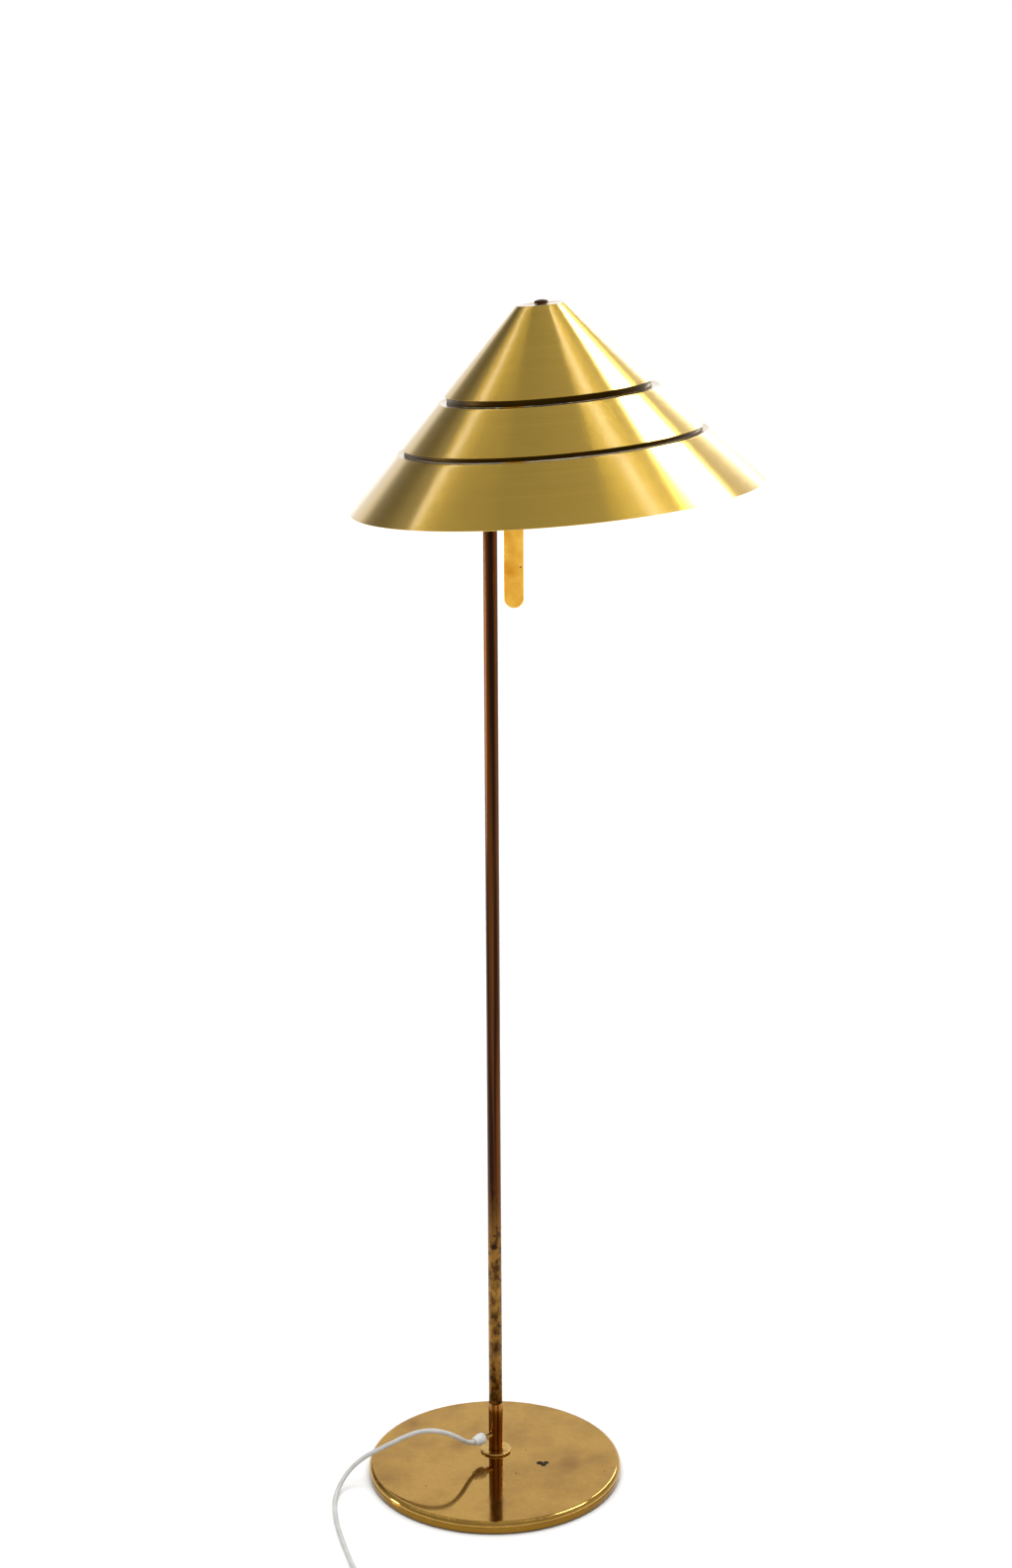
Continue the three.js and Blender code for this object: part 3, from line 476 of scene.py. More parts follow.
def grid_mesh(name, points, wrap_rows=False, cap_ends=False, inside_rows=()):
    """A mesh from a grid of points [row, column, xyz] whose columns close into a ring.

    The rows also close into a loop, or each end row is closed by a fan to its middle. UV map turn holds the
    length along the rows' direction in metres, and the share of the way round. Faces between inside_rows use
    material 1.
    """
    rows, columns = points.shape[:2]
    corner = np.arange(columns)
    along = np.vstack([np.zeros((1, columns)), np.linalg.norm(np.diff(points, axis=0), axis=2).cumsum(0)])
    row_ids = np.arange(rows if wrap_rows else rows - 1)
    r, c = np.meshgrid(row_ids, corner, indexing="ij")
    above, beside = (r + 1) % rows, (c + 1) % columns
    row, next_row = r * columns, above * columns
    quads = np.stack([row + c, row + beside, next_row + beside, next_row + c], -1)
    length = along.mean(1)
    closing = np.linalg.norm(points[0] - points[-1], axis=1).mean()
    upper = np.append(length, length[-1] + closing)
    u = np.stack([upper[r], upper[r], upper[r + 1], upper[r + 1]], -1)
    v = np.stack([c, c + 1, c + 1, c], -1) / columns
    uv = np.stack([u, v], -1).reshape(-1, 2)
    vertices = points.reshape(-1, 3)
    faces = quads.reshape(-1, 4).tolist()
    material_ids = np.isin(r, list(inside_rows)).astype(np.int32).reshape(-1)
    if cap_ends and not wrap_rows:
        middles = np.stack([points[0].mean(0), points[-1].mean(0)])
        first, last = len(vertices), len(vertices) + 1
        vertices = np.vstack([vertices, middles])
        end = (rows - 1) * columns
        ahead = (corner + 1) % columns
        start_fan = np.stack([ahead, corner, np.full(columns, first)], -1)
        end_fan = np.stack([end + corner, end + ahead, np.full(columns, last)], -1)
        faces += start_fan.tolist() + end_fan.tolist()
        radii = [np.linalg.norm(points[i] - middles[i], axis=1).mean() for i in (0, -1)]
        share = corner / columns
        for rim, tip in ((0, -radii[0]), (length[-1], length[-1] + radii[1])):
            fan_uv = [np.stack([np.full(columns, u_at), share], -1) for u_at in (rim, rim, tip)]
            uv = np.vstack([uv, np.stack(fan_uv, 1).reshape(-1, 2)])
        material_ids = np.concatenate([material_ids, np.zeros(2 * columns, np.int32)])
    mesh = bpy.data.meshes.new(name)
    mesh.from_pydata(vertices.tolist(), [], faces)
    mesh.uv_layers.new(name="turn").data.foreach_set("uv", uv.astype(np.float32).ravel())
    mesh.polygons.foreach_set("material_index", material_ids)
    if signed_volume(vertices, faces) < 0:
        mesh.flip_normals()
    mesh.update()
    return mesh


def signed_volume(vertices, faces):
    """Sum over the faces' triangles of a . (b x c) / 6, which is positive when the faces point out."""
    triangles = [f[:3] for f in faces] + [[f[0], f[2], f[3]] for f in faces if len(f) == 4]
    a, b, c = vertices[np.array(triangles)].transpose(1, 0, 2)
    return float((a * np.cross(b, c)).sum() / 6)


def rounded(points, radius, steps=4, closed=True):
    """An outline whose corners become arcs of the radius, as far as their sides allow."""
    points = np.asarray(points, float)
    count = len(points)
    result = []
    for i, corner in enumerate(points):
        if not closed and i in (0, count - 1):
            result.append(corner)
            continue
        before, after = points[i - 1], points[(i + 1) % count]
        back, on = before - corner, after - corner
        back_length, on_length = np.linalg.norm(back), np.linalg.norm(on)
        back, on = back / back_length, on / on_length
        half = math.acos(np.clip(back @ on, -1, 1)) / 2
        if half > math.radians(84):
            result.append(corner)
            continue
        reach = min(radius / math.tan(half), 0.45 * back_length, 0.45 * on_length)
        arc_r = reach * math.tan(half)
        middle = corner + (back + on) / np.linalg.norm(back + on) * arc_r / math.sin(half)
        start, end = corner + back * reach - middle, corner + on * reach - middle
        sweep = math.pi - 2 * half
        for share in np.linspace(0, 1, steps + 1):
            mix = (math.sin((1 - share) * sweep) * start + math.sin(share * sweep) * end) / math.sin(sweep)
            result.append(middle + mix)
    return np.array(result)


def turned(name, profile, place, materials, columns=MEDIUM, loop=False, inside=(), sharp=35):
    """A profile of (radius, height) turned about Z: (r cos a, r sin a, z). A loop makes a ring."""
    profile = np.asarray(profile, float)
    angles = np.linspace(0, 2 * math.pi, columns, endpoint=False)
    circle = np.stack([np.cos(angles), np.sin(angles)], -1)
    flat = profile[:, None, :1] * circle[None]
    heights = np.broadcast_to(profile[:, None, 1:], (*flat.shape[:2], 1))
    points = np.concatenate([flat, heights], -1)
    mesh = grid_mesh(name, points, wrap_rows=loop, cap_ends=not loop, inside_rows=inside)
    return finish_piece(mesh, name, place, materials, sharp)


def carried(name, path, radius, materials, columns=24):
    """A round section carried along a path, and closed at both ends.

    The section's two axes start across the path and are passed on from point to point by the smallest turn.
    """
    path = np.asarray(path, float)
    way = np.gradient(path, axis=0)
    way /= np.linalg.norm(way, axis=1, keepdims=True)
    side = np.cross(way[0], (0, 0, 1.0) if abs(way[0][2]) < 0.9 else (1.0, 0, 0))
    sides = []
    for direction in way:
        side = side - (side @ direction) * direction
        side = side / np.linalg.norm(side)
        sides.append(side)
    sides = np.array(sides)
    ups = np.cross(way, sides)
    angles = np.linspace(0, 2 * math.pi, columns, endpoint=False)
    points = path[:, None] + radius * (np.cos(angles)[None, :, None] * sides[:, None]
                                       + np.sin(angles)[None, :, None] * ups[:, None])
    mesh = grid_mesh(name, points, cap_ends=True)
    return finish_piece(mesh, name, Matrix.Identity(4), materials)


def plate(name, outlines, thickness, edge, place, materials):
    """A flat plate about the X-Y plane from closed outlines, the later ones holes, with rounded edges."""
    curve = bpy.data.curves.new(name, "CURVE")
    curve.dimensions = "2D"
    curve.fill_mode = "BOTH"
    curve.extrude = thickness / 2 - edge
    curve.bevel_depth = edge
    curve.bevel_resolution = 3
    curve.offset = -edge
    for outline in outlines:
        spline = curve.splines.new("POLY")
        spline.points.add(len(outline) - 1)
        flat = np.zeros((len(outline), 4))
        flat[:, :2] = outline
        flat[:, 3] = 1
        spline.points.foreach_set("co", flat.ravel())
        spline.use_cyclic_u = True
    maker = bpy.data.objects.new(name + "_outline", curve)
    bpy.context.scene.collection.objects.link(maker)
    bpy.context.view_layer.update()
    mesh = bpy.data.meshes.new_from_object(maker.evaluated_get(bpy.context.evaluated_depsgraph_get()))
    bpy.data.objects.remove(maker)
    mesh.materials.clear()
    return finish_piece(mesh, name, place, materials)


def circle_points(x, y, radius):
    angles = np.linspace(0, 2 * math.pi, SMALL, endpoint=False)
    return np.stack([x + radius * np.cos(angles), y + radius * np.sin(angles)], -1)


def arc_points(x, y, radius, start, end, count=12):
    """Points on an arc, from one direction to another in degrees."""
    angles = np.radians(np.linspace(start, end, count))
    return np.stack([x + radius * np.cos(angles), y + radius * np.sin(angles)], -1)


def ring_profile(inner, outer, low, high, edge):
    """The section of a tube or collar as a rectangle with rounded corners."""
    return rounded([(inner, low), (outer, low), (outer, high), (inner, high)], edge)


def smooth_path(points, steps=12):
    """A centripetal Catmull-Rom curve through the points.

    Each span is a cubic whose end slopes come from its neighbours, weighed by the square roots of the spans'
    lengths.
    """
    points = np.asarray(points, float)
    padded = np.vstack([2 * points[0] - points[1], points, 2 * points[-1] - points[-2]])
    knots = np.linalg.norm(np.diff(padded, axis=0), axis=1) ** 0.5
    before, here, after = knots[:-2, None], knots[1:-1, None], knots[2:, None]
    p0, p1, p2, p3 = padded[:-3], padded[1:-2], padded[2:-1], padded[3:]
    slope1 = ((p1 - p0) / before - (p2 - p0) / (before + here) + (p2 - p1) / here) * here
    slope2 = ((p2 - p1) / here - (p3 - p1) / (here + after) + (p3 - p2) / after) * here
    t = np.linspace(0, 1, steps, endpoint=False)[None, :, None]
    p1, p2, slope1, slope2 = (a[:, None] for a in (p1, p2, slope1, slope2))
    spans = ((2 * t**3 - 3 * t**2 + 1) * p1 + (t**3 - 2 * t**2 + t) * slope1
             + (3 * t**2 - 2 * t**3) * p2 + (t**3 - t**2) * slope2)
    return np.vstack([spans.reshape(-1, 3), points[-1:]])


def along(start, direction):
    """The frame whose +Z runs from a point in a direction."""
    turn = Vector((0, 0, 1)).rotation_difference(Vector(direction)).to_matrix().to_4x4()
    return Matrix.Translation(start) @ turn


Z_TO_X = Matrix.Rotation(math.pi / 2, 4, "Y")  # turns a piece's own +Z to +X


# ---- Mains cord ----

# Both routes are measured from the pole's axis, in metres.
# Out of the grip, up in a low arch over the base, down past its edge and along the floor.
CORD_ROUTE = [
    (-0.0262, -0.0224, 0.0376), (-0.0289, -0.0251, 0.0385), (-0.0318, -0.0288, 0.0406),
    (-0.0353, -0.0332, 0.0439), (-0.0395, -0.0381, 0.0487), (-0.0449, -0.0426, 0.0542),
    (-0.0524, -0.0460, 0.0598), (-0.0624, -0.0474, 0.0641), (-0.0752, -0.0471, 0.0661),
    (-0.0910, -0.0464, 0.0642), (-0.1078, -0.0462, 0.0578), (-0.1238, -0.0462, 0.0495),
    (-0.1379, -0.0462, 0.0421), (-0.1503, -0.0467, 0.0356), (-0.1612, -0.0489, 0.0289),
    (-0.1709, -0.0534, 0.0216), (-0.1793, -0.0613, 0.0137), (-0.1856, -0.0741, 0.0068),
    (-0.1887, -0.0933, 0.0034), (-0.1877, -0.1173, 0.0029), (-0.1843, -0.1451, 0.0028),
    (-0.1783, -0.1745, 0.0028), (-0.1707, -0.2055, 0.0028), (-0.1631, -0.2346, 0.0028),
    (-0.1551, -0.2614, 0.0028), (-0.1490, -0.2910, 0.0028),
]
# From the top of the coil down to the plug.
TAIL_ROUTE = [
    (-0.0840, -0.3482, 0.0130), (-0.0720, -0.3494, 0.0114), (-0.0590, -0.3510, 0.0089),
    (-0.0460, -0.3520, 0.0075), (-0.0340, -0.3520, 0.0072),
]
COIL_CENTRE = np.array([-0.108, -0.312])
COIL_OUTER_R = 35.6 * MM  # to the middle of the outermost turn
TURN_PITCH = 5.7 * MM
FIRST_LAYER_Z = 2.85 * MM
COIL_START = 200          # degrees from +X, on the side where the cord arrives
COIL_END = 180 + 7 * 360 + 82
PLUG_PLACE = (-0.0337, -0.352, 0.0072)


def step(value, start, end):
    """0 before start, 1 after end, and smooth between."""
    t = np.clip((value - start) / (end - start), 0, 1)
    return t * t * (3 - 2 * t)


def coil_turns():
    """Seven and a quarter turns: three laid inwards, three on them outwards, and one more on the outside.

    The radius steps by one pitch before each new turn, and the height by one pitch before each new layer.
    """
    degrees = np.arange(COIL_START, COIL_END, 15.0)
    inwards = step(degrees, 440, 560) + step(degrees, 800, 920)
    outwards = step(degrees, 1520, 1640) + step(degrees, 1880, 2000)
    radius = COIL_OUTER_R - TURN_PITCH * (inwards - outwards)
    height = FIRST_LAYER_Z + TURN_PITCH * (step(degrees, 1080, 1170) + step(degrees, 2130, 2220))
    turn = np.radians(degrees)
    flat = COIL_CENTRE + np.stack([radius * np.cos(turn), radius * np.sin(turn)], -1)
    return np.column_stack([flat, height])


def make_cord():
    middle = np.vstack([np.array(CORD_ROUTE), coil_turns(), np.array(TAIL_ROUTE)])
    path = smooth_path(middle + np.array([pole_x, pole_y, 0]), steps=6)
    data = bpy.data.curves.new("mains_cord", "CURVE")
    data.dimensions = "3D"
    data.bevel_depth = CORD_R
    data.bevel_resolution = 5
    data.use_fill_caps = True
    spline = data.splines.new("POLY")
    spline.points.add(len(path) - 1)
    spline.points.foreach_set("co", np.hstack([path, np.ones((len(path), 1))]).ravel())
    spline.use_smooth = True
    data.materials.append(PVC_JACKET)
    piece = bpy.data.objects.new("mains_cord", data)
    bpy.context.scene.collection.objects.link(piece)
    return piece


def make_coil_tie():
    """A flat strap round the bundle of turns: a rounded square loop, carried a short way round the coil."""
    half_w, high, thick = 9.1 * MM, 17.4 * MM, 0.7 * MM
    middle_r = COIL_OUTER_R - TURN_PITCH
    low = 0.15 * MM
    outer = rounded([(middle_r - half_w, low), (middle_r + half_w, low), (middle_r + half_w, high),
                     (middle_r - half_w, high)], 2.6 * MM, 6)
    centre = outer.mean(0)
    inner = centre + (outer - centre) * (1 - thick / half_w)
    angles = np.radians(np.linspace(30, 44, 5))
    # the strap's surfaces as one closed loop of rows: outside forwards, then inside backwards
    rows = [np.stack([outline[:, 0] * math.cos(turn), outline[:, 0] * math.sin(turn), outline[:, 1]], -1)
            for outline, turns in ((outer, angles), (inner, angles[::-1])) for turn in turns]
    mesh = grid_mesh("coil_tie", np.array(rows), wrap_rows=True)
    place = POLE @ Matrix.Translation((*COIL_CENTRE, 0))
    return finish_piece(mesh, "coil_tie", place, [WHITE_NYLON])


def make_plug():
    """A flat two-pin plug: a moulded body with a rounded outline, and a ribbed neck towards the cord."""
    at = POLE @ Matrix.Translation(PLUG_PLACE)
    half = mm((20, 4.4), (22.4, 5.2), (25.2, 10.6), (28.2, 13.4), (32, 14.5), (50, 15.5), (53, 15.5))
    outline = rounded(np.vstack([half, half[::-1] * (1, -1)]), 2.4 * MM, 5)
    body = plate("plug_body_moulding", [outline], 13.4 * MM, 2.2 * MM, at, [WHITE_NYLON])
    neck = [(0.02, 0), (3.3, 0)]
    for rib in range(7):
        z, r = 1.2 + 2.7 * rib, 3.7 + 0.13 * rib
        neck += [(r, z), (r + 0.3, z + 0.4), (r + 0.3, z + 1.4), (r - 0.25, z + 1.8)]
    neck += [(4.9, 21), (4.9, 26), (0.02, 26)]
    sleeve = turned("plug_neck_sleeve", mm(*neck), at @ Z_TO_X, [WHITE_NYLON], SMALL)
    return body, sleeve


def make_pin(name, offset):
    """A round plug pin: a thicker sleeved root, and a bare end with a rounded tip."""
    at = POLE @ Matrix.Translation(Vector(PLUG_PLACE) + Vector((0, offset, 0)))
    profile = mm((0.01, 46), (1.9, 46), (1.9, 61), (2, 61.2), (2, 70.4), (1.7, 71.5), (1, 72.1), (0.01, 72.2))
    return turned(name + "_turned", profile, at @ Z_TO_X, [ZINC_STEEL], SMALL)


cord = make_cord()
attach(cord, "stand")
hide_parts("cord_run", "cord_coil", "cord_tail")
tie = make_coil_tie()
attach(tie, "stand")
plug_body, plug_neck = make_plug()
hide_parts("plug_body")
for part in (plug_body, plug_neck):
    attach(part, "stand")
for name, offset in (("plug_pin_near", -9.3 * MM), ("plug_pin_far", 9.3 * MM)):
    pin = make_pin(name, offset)
    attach(pin, "stand")
    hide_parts(name)


# ---- Base and foot ----

def make_base_cover():
    """The dished cover: flat top, rounded shoulder, a fine groove and a straight band down to the pad."""
    shoulder = BASE_TOP - SHOULDER_R
    flat_r = BASE_R - SHOULDER_R
    top = [(0.05 * MM, BASE_TOP), *((r, BASE_TOP) for r in np.linspace(0.02, flat_r - 2 * MM, 7))]
    bend = arc_points(flat_r, shoulder, SHOULDER_R, 90, 3, 14)
    groove_r = BASE_R - GROOVE
    groove = [(groove_r, shoulder - 0.3 * MM), (groove_r, shoulder - 0.9 * MM)]
    band = rounded([groove[1], (BASE_R, shoulder - 1.0 * MM), (BASE_R, COVER_LOW),
                    (BASE_R - COVER_WALL, COVER_LOW)], 0.3 * MM, 4, closed=False)[1:]
    under = arc_points(flat_r, shoulder, SHOULDER_R - COVER_WALL, 0, 90, 8)
    inside = [(0.02, BASE_TOP - COVER_WALL), (0.05 * MM, BASE_TOP - COVER_WALL)]
    profile = np.vstack([top, bend, groove, band, under, inside])
    return turned("base_cover_spun", profile, Matrix.Identity(4), [BASE_BRASS], FINE)


def make_base_pad():
    corners = [(0.05 * MM, PAD_T), (PAD_R, PAD_T), (PAD_R, 0), (0.05 * MM, 0)]
    edge = rounded(corners, 0.5 * MM, 4, closed=False)
    return turned("base_pad_felt", edge, Matrix.Identity(4), [WOOL_FELT], FINE)


def make_flange():
    """A washer-like foot with a rolled edge that lies on the base."""
    profile = rounded([(STUD_CLEAR_R, FLANGE_LOW), (FLANGE_R - 0.5 * MM, FLANGE_LOW),
                       (FLANGE_R, FLANGE_LOW + 0.7 * MM), (FLANGE_R, FLANGE_TOP - 0.8 * MM),
                       (FLANGE_R - 0.9 * MM, FLANGE_TOP), (STUD_CLEAR_R, FLANGE_TOP)], 0.6 * MM, 5)
    return turned("foot_flange_turned", profile, POLE, [FITTING_BRASS], FINE // 2, loop=True)


def make_tube(name, radius, low, high, material):
    profile = ring_profile(POLE_BORE_R, radius, low, high, 0.35 * MM)
    return turned(name, profile, POLE, [material], MEDIUM, loop=True)


def spigot_frame():
    way = Vector((math.cos(SPIGOT_TURN), math.sin(SPIGOT_TURN), 0))
    return along((pole_x, pole_y, SPIGOT_Z), way)


def make_spigot():
    profile = ring_profile(SPIGOT_BORE_R, SPIGOT_R, SPIGOT_START, SPIGOT_END, 0.3 * MM)
    return turned("cord_spigot_turned", profile, spigot_frame(), [FITTING_BRASS], MEDIUM, loop=True)


def waved(name, profile, depth, place, material, columns, sharp=35):
    """A profile turned about Z as a loop, whose radius at each row and angle changes by a depth."""
    angles = np.linspace(0, 2 * math.pi, columns, endpoint=False)
    radius = profile[:, None, 0] + depth(angles)
    points = np.stack([radius * np.cos(angles), radius * np.sin(angles),
                       np.broadcast_to(profile[:, 1:], radius.shape)], -1)
    return finish_piece(grid_mesh(name, points, wrap_rows=True), name, place, [material], sharp)


def make_grip():
    """The cord grip: a collar with ribs all round, then a cone that narrows to a nose round the cord.

    The collar's radius is r + h (cos(n a) - 0.6), n ribs of height h, and the cone's is plain.
    """
    outer = mm((6.4, 0), (6.85, 0.5), (6.9, 2.6), (6.2, 3.1), (6.2, 3.9), (6.9, 4.4), (6.9, 6.6), (6.6, 7.3),
               (5.9, 9.4), (5.5, 11.6), (5.1, 13.6), (4.9, 14.2), (4.5, 14.5))
    outer[:, 1] += GRIP_START
    bore_r = 2.9 * MM
    profile = np.vstack([outer, [(bore_r, GRIP_END), (bore_r, GRIP_START)]])
    radius, height = profile.T
    ribbed = (height > GRIP_START + 0.3 * MM) & (height < GRIP_CONE) & (radius > 5 * MM)
    return waved("cord_grip_ribbed", profile,
                 lambda a: GRIP_RIB_H * ribbed[:, None] * (np.cos(GRIP_RIBS * a)[None] - 0.6),
                 spigot_frame(), WHITE_NYLON, 288, sharp=50)


def on_body(piece, body, slot, *nodes):
    """The piece rides on a body and stands for the nodes. The slot is not used."""
    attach(piece, body)
    if nodes:
        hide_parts(*nodes)
    return piece


on_body(make_base_cover(), "stand", "brass_polished", "base_cover")
on_body(make_base_pad(), "stand", "felt", "base_pad")
on_body(make_flange(), "stand", "brass_polished", "foot_flange")
on_body(make_tube("lower_stem_drawn", STEM_R, STEM_LOW, STEM_TOP, STEM_BRASS), "stand", "brass_dark",
        "lower_stem")
on_body(make_tube("pole_tube_drawn", POLE_R, POLE_LOW, POLE_TOP, POLE_BRASS), "stand", "brass_dark",
        "pole_tube")
on_body(make_spigot(), "stand", "brass_polished", "cord_spigot")
on_body(make_grip(), "stand", "white_plastic", "cord_grip")


# ---- Swivel head, strip and rivets ----

def facing_front(x, z):
    """The frame at a place in the head's X-Z plane whose +Z points to the lamp's front."""
    return HEAD @ Matrix.Translation((x, 0, z)) @ Matrix.Rotation(math.pi / 2, 4, "X")


def make_strip():
    """The flat grip strip: straight sides, a half-round lower end, holes for the pivot screw and rivets."""
    half = STRIP_W / 2
    low_end = arc_points(0, STRIP_LOW + half, half, 180, 360, 40)
    outline = np.vstack([[(-half, STRIP_TOP)], low_end, [(half, STRIP_TOP)]])
    holes = [circle_points(0, PIVOT_Z, 3.2 * MM)]
    holes += [circle_points(0, z, 2.3 * MM) for z in RIVET_HEIGHTS.values()]
    middle = STRIP_FRONT + STRIP_T / 2
    place = HEAD @ Matrix.Translation((PIVOT_X, middle, 0)) @ Matrix.Rotation(math.pi / 2, 4, "X")
    return plate("grip_strip_polished", [outline, *holes], STRIP_T, 0.8 * MM, place, [STRIP_BRASS])


def make_rivet(name, height):
    """A rivet with a low dome in front of the strip, a shank, and a flat head behind it."""
    front = -STRIP_FRONT / MM + 0.3
    profile = mm((0.02, front + 1.4), (1.4, front + 1.25), (2.5, front + 0.85), (3.3, front + 0.25),
                 (3.4, front), (2, front), (2, 6.7), (3.4, 6.7), (3.2, 6.1), (2.3, 5.4), (0.02, 5.3))
    return turned(name + "_domed", profile, facing_front(PIVOT_X, height), [FITTING_BRASS], SMALL)


def make_bush():
    """The bush that closes the pole's top and carries the swivelling collar on its stub."""
    top = size_of("pole_bush")[1][2]
    foot, seat, shoulder = POLE_TOP - 20 * MM, POLE_TOP + 0.3 * MM, POLE_TOP + 2 * MM
    bore_r, plug_r, stub_r = mm(3.3, 6.6, 5)
    profile = rounded([(bore_r, foot), (plug_r, foot), (plug_r, seat), (POLE_R, seat), (POLE_R, shoulder),
                       (stub_r, shoulder), (stub_r, top), (bore_r, top)], 0.3 * MM)
    return turned("pole_bush_turned", profile, POLE, [FITTING_BRASS], MEDIUM, loop=True)


on_body(make_bush(), "stand", "brass_polished", "pole_bush")
on_body(make_strip(), "head", "brass_gold", "grip_strip")
for rivet, rivet_z in RIVET_HEIGHTS.items():
    on_body(make_rivet(rivet, rivet_z), "head", "brass_polished", rivet)


# ---- Shade (heights measured down from the cone's point) ----

def down_to(radius):
    return -radius / CONE_SLOPE


def inside_at(z):
    """The sheet's inner radius at a height."""
    return -z * CONE_SLOPE - SHEET_ACROSS


SLOPE_POINTS = 26  # points down each face of a tier


def shade_skin(name, outer, inner):
    """A band of the cone from its outer outline, bottom edge to top, and its inner one back down."""
    profile = np.vstack([outer, inner])
    inside = range(len(outer), len(profile) - 1)
    return turned(name, profile, SHADE, [SPUN_BRASS, LACQUER], FINE, loop=True, inside=inside, sharp=50)


def lip(bottom_r):
    """The bottom edge as a small half-round hem, from inside the sheet to its outer face."""
    z = down_to(bottom_r)
    outside = np.array([bottom_r, z])
    within = np.array([inside_at(z), z])
    centre = (outside + within) / 2
    half = (outside - within) / 2
    angles = np.radians(np.linspace(180, 360, 7))
    drop = np.array([0, 0.55 * MM])
    return np.array([centre + half * math.cos(a) + drop * math.sin(a) for a in angles])


def make_tier(name, ledge_r=None):
    """One tier: the hem, the outer slope, a flat top turned in, and the lacquered inner slope back down."""
    small, large = TIERS[name]
    top, bottom = down_to(small), down_to(large)
    hem = lip(large) + np.array([0, 0.55 * MM])
    run_in = STUD_CLEAR_R if ledge_r is None else ledge_r
    corner = np.array([small, top])
    slope = np.linspace(hem[-1], corner + mm(0.5, -0.5 / CONE_SLOPE), SLOPE_POINTS)
    shoulder = rounded([slope[-2], corner, (run_in, top)], 0.5 * MM, 5, closed=False)[1:-1]
    ledge = np.array([(small - 1.2 * MM, top), (run_in + 0.1 * MM, top), (run_in, top - 0.1 * MM)])
    under = top - SHEET_T
    below = np.array([(run_in, under), (inside_at(under), under)])
    back = np.linspace((inside_at(under) + 0.02 * MM, under - 0.02 * MM), hem[0], SLOPE_POINTS)[1:-1]
    outer = np.vstack([hem, slope[1:-1], shoulder, ledge])
    return shade_skin(name + "_spun", outer, np.vstack([below, back]))


def make_neck(name, upper, lower):
    """A recessed ring that stands on the ledge below and tucks up under the tier above."""
    outer = TIERS[upper][1] - NECK_INSET
    low = down_to(TIERS[lower][0]) + 0.3 * MM
    tuck = -(outer + SHEET_ACROSS + 0.3 * MM) / CONE_SLOPE
    profile = rounded([(outer - NECK_T, low), (outer, low), (outer, tuck), (outer - NECK_T, tuck)], 0.3 * MM)
    return turned(name + "_spun", profile, SHADE, [NECK_SHADE_BRASS], FINE, loop=True)


def make_finial():
    """The low round nut on the shade's top: a straight wall, a soft edge and a nearly flat crown."""
    wall, inner_wall = mm((5.3, 0), (7.5, 0)), mm((0.02, 2.8), (5.3, 2.8))
    crown = rounded(mm((7.5, 0), (7.5, 3), (3, 4.1), (0.02, 4.2)), 1.3 * MM, 6, closed=False)[1:]
    profile = np.vstack([inner_wall, wall, crown])
    profile[:, 1] += 0.3 * MM - SHADE_TOP_DOWN
    return turned("finial_nut_turned", profile, SHADE, [DARK_BRONZE], MEDIUM)


def make_bulb():
    """A pear-shaped opal bulb: the outline swells from the neck and closes in a round end."""
    outline = smooth_path([(0.02, 0, -201), (9, 0, -199.4), (19, 0, -193.6), (27, 0, -182.5), (29.8, 0, -169),
                           (27, 0, -153.5), (20, 0, -141.5), (14.4, 0, -133.5), (11.6, 0, -128.4),
                           (11.2, 0, -123), (11.2, 0, -117)], 6)[:, [0, 2]]
    return turned("bulb_glass_blown", mm(*outline, (0.02, -117)), SHADE, [OPAL_GLASS], MEDIUM)


def make_bulb_cap():
    """The screw cap: a shell with the thread's rounded ridges, 12.75 + 0.4 cos(2 pi z / 3.6) mm in radius."""
    heights = np.linspace(-126, -105, 64)
    shell = np.stack([12.75 + 0.4 * np.cos(2 * math.pi * heights / 3.6), heights], -1)
    profile = mm((0.02, -126.8), (11.4, -126.8), (12.4, -126.5), *shell, (12.4, -104.2), (9, -101.8),
                 (5, -101.5), (4.6, -101.1), (0.02, -101))
    return turned("bulb_cap_rolled", profile, SHADE, [ZINC_STEEL], MEDIUM)


def make_holder_cap():
    """The upper half of the lampholder: a neck on the nipple, a domed shoulder and a straight skirt."""
    wall, bore, skirt, top = HOLDER_R / MM, STUD_CLEAR_R / MM, -88, -TAB_DOWN / MM - 3.3
    outer = rounded(mm((wall, skirt), (wall, -79), (15.4, -71.6), (8.6, -69.4), (8.6, top), (bore, top)),
                    1.6 * MM, 6, closed=False)
    within = mm((bore, -71.4), (14.2, -73.6), (wall - 2, -80), (wall - 2, skirt))
    return turned("holder_cap_moulded", np.vstack([outer, within]), SHADE, [PHENOLIC], MEDIUM, loop=True)


def make_holder_shell():
    """The lower half of the lampholder: grip flutes round a straight wall, over a rolled rim.

    The wall's radius is r - h (1 + cos(n a)) / 2, n flutes of depth h.
    """
    wall, rim, low, high = HOLDER_R / MM, HOLDER_R / MM + 1.2, -122, -88.3
    outer = rounded(mm((wall - 2, low), (rim, low), (rim, low + 3.5), (wall, low + 5), (wall, low + 7)),
                    0.8 * MM, 4, closed=False)
    above = mm(*((wall, z) for z in (-113, -112, -100, -93, -92, high)), (wall - 2, high))
    profile = np.vstack([outer, above])
    radius, height = profile.T
    fluted = (height > -112.5 * MM) & (height < -92.5 * MM) & (radius > (wall - 2) * MM)
    return waved("holder_shell_fluted", profile,
                 lambda a: -0.7 * MM * fluted[:, None] * (1 + np.cos(30 * a)[None]) / 2,
                 SHADE, PHENOLIC, 240)


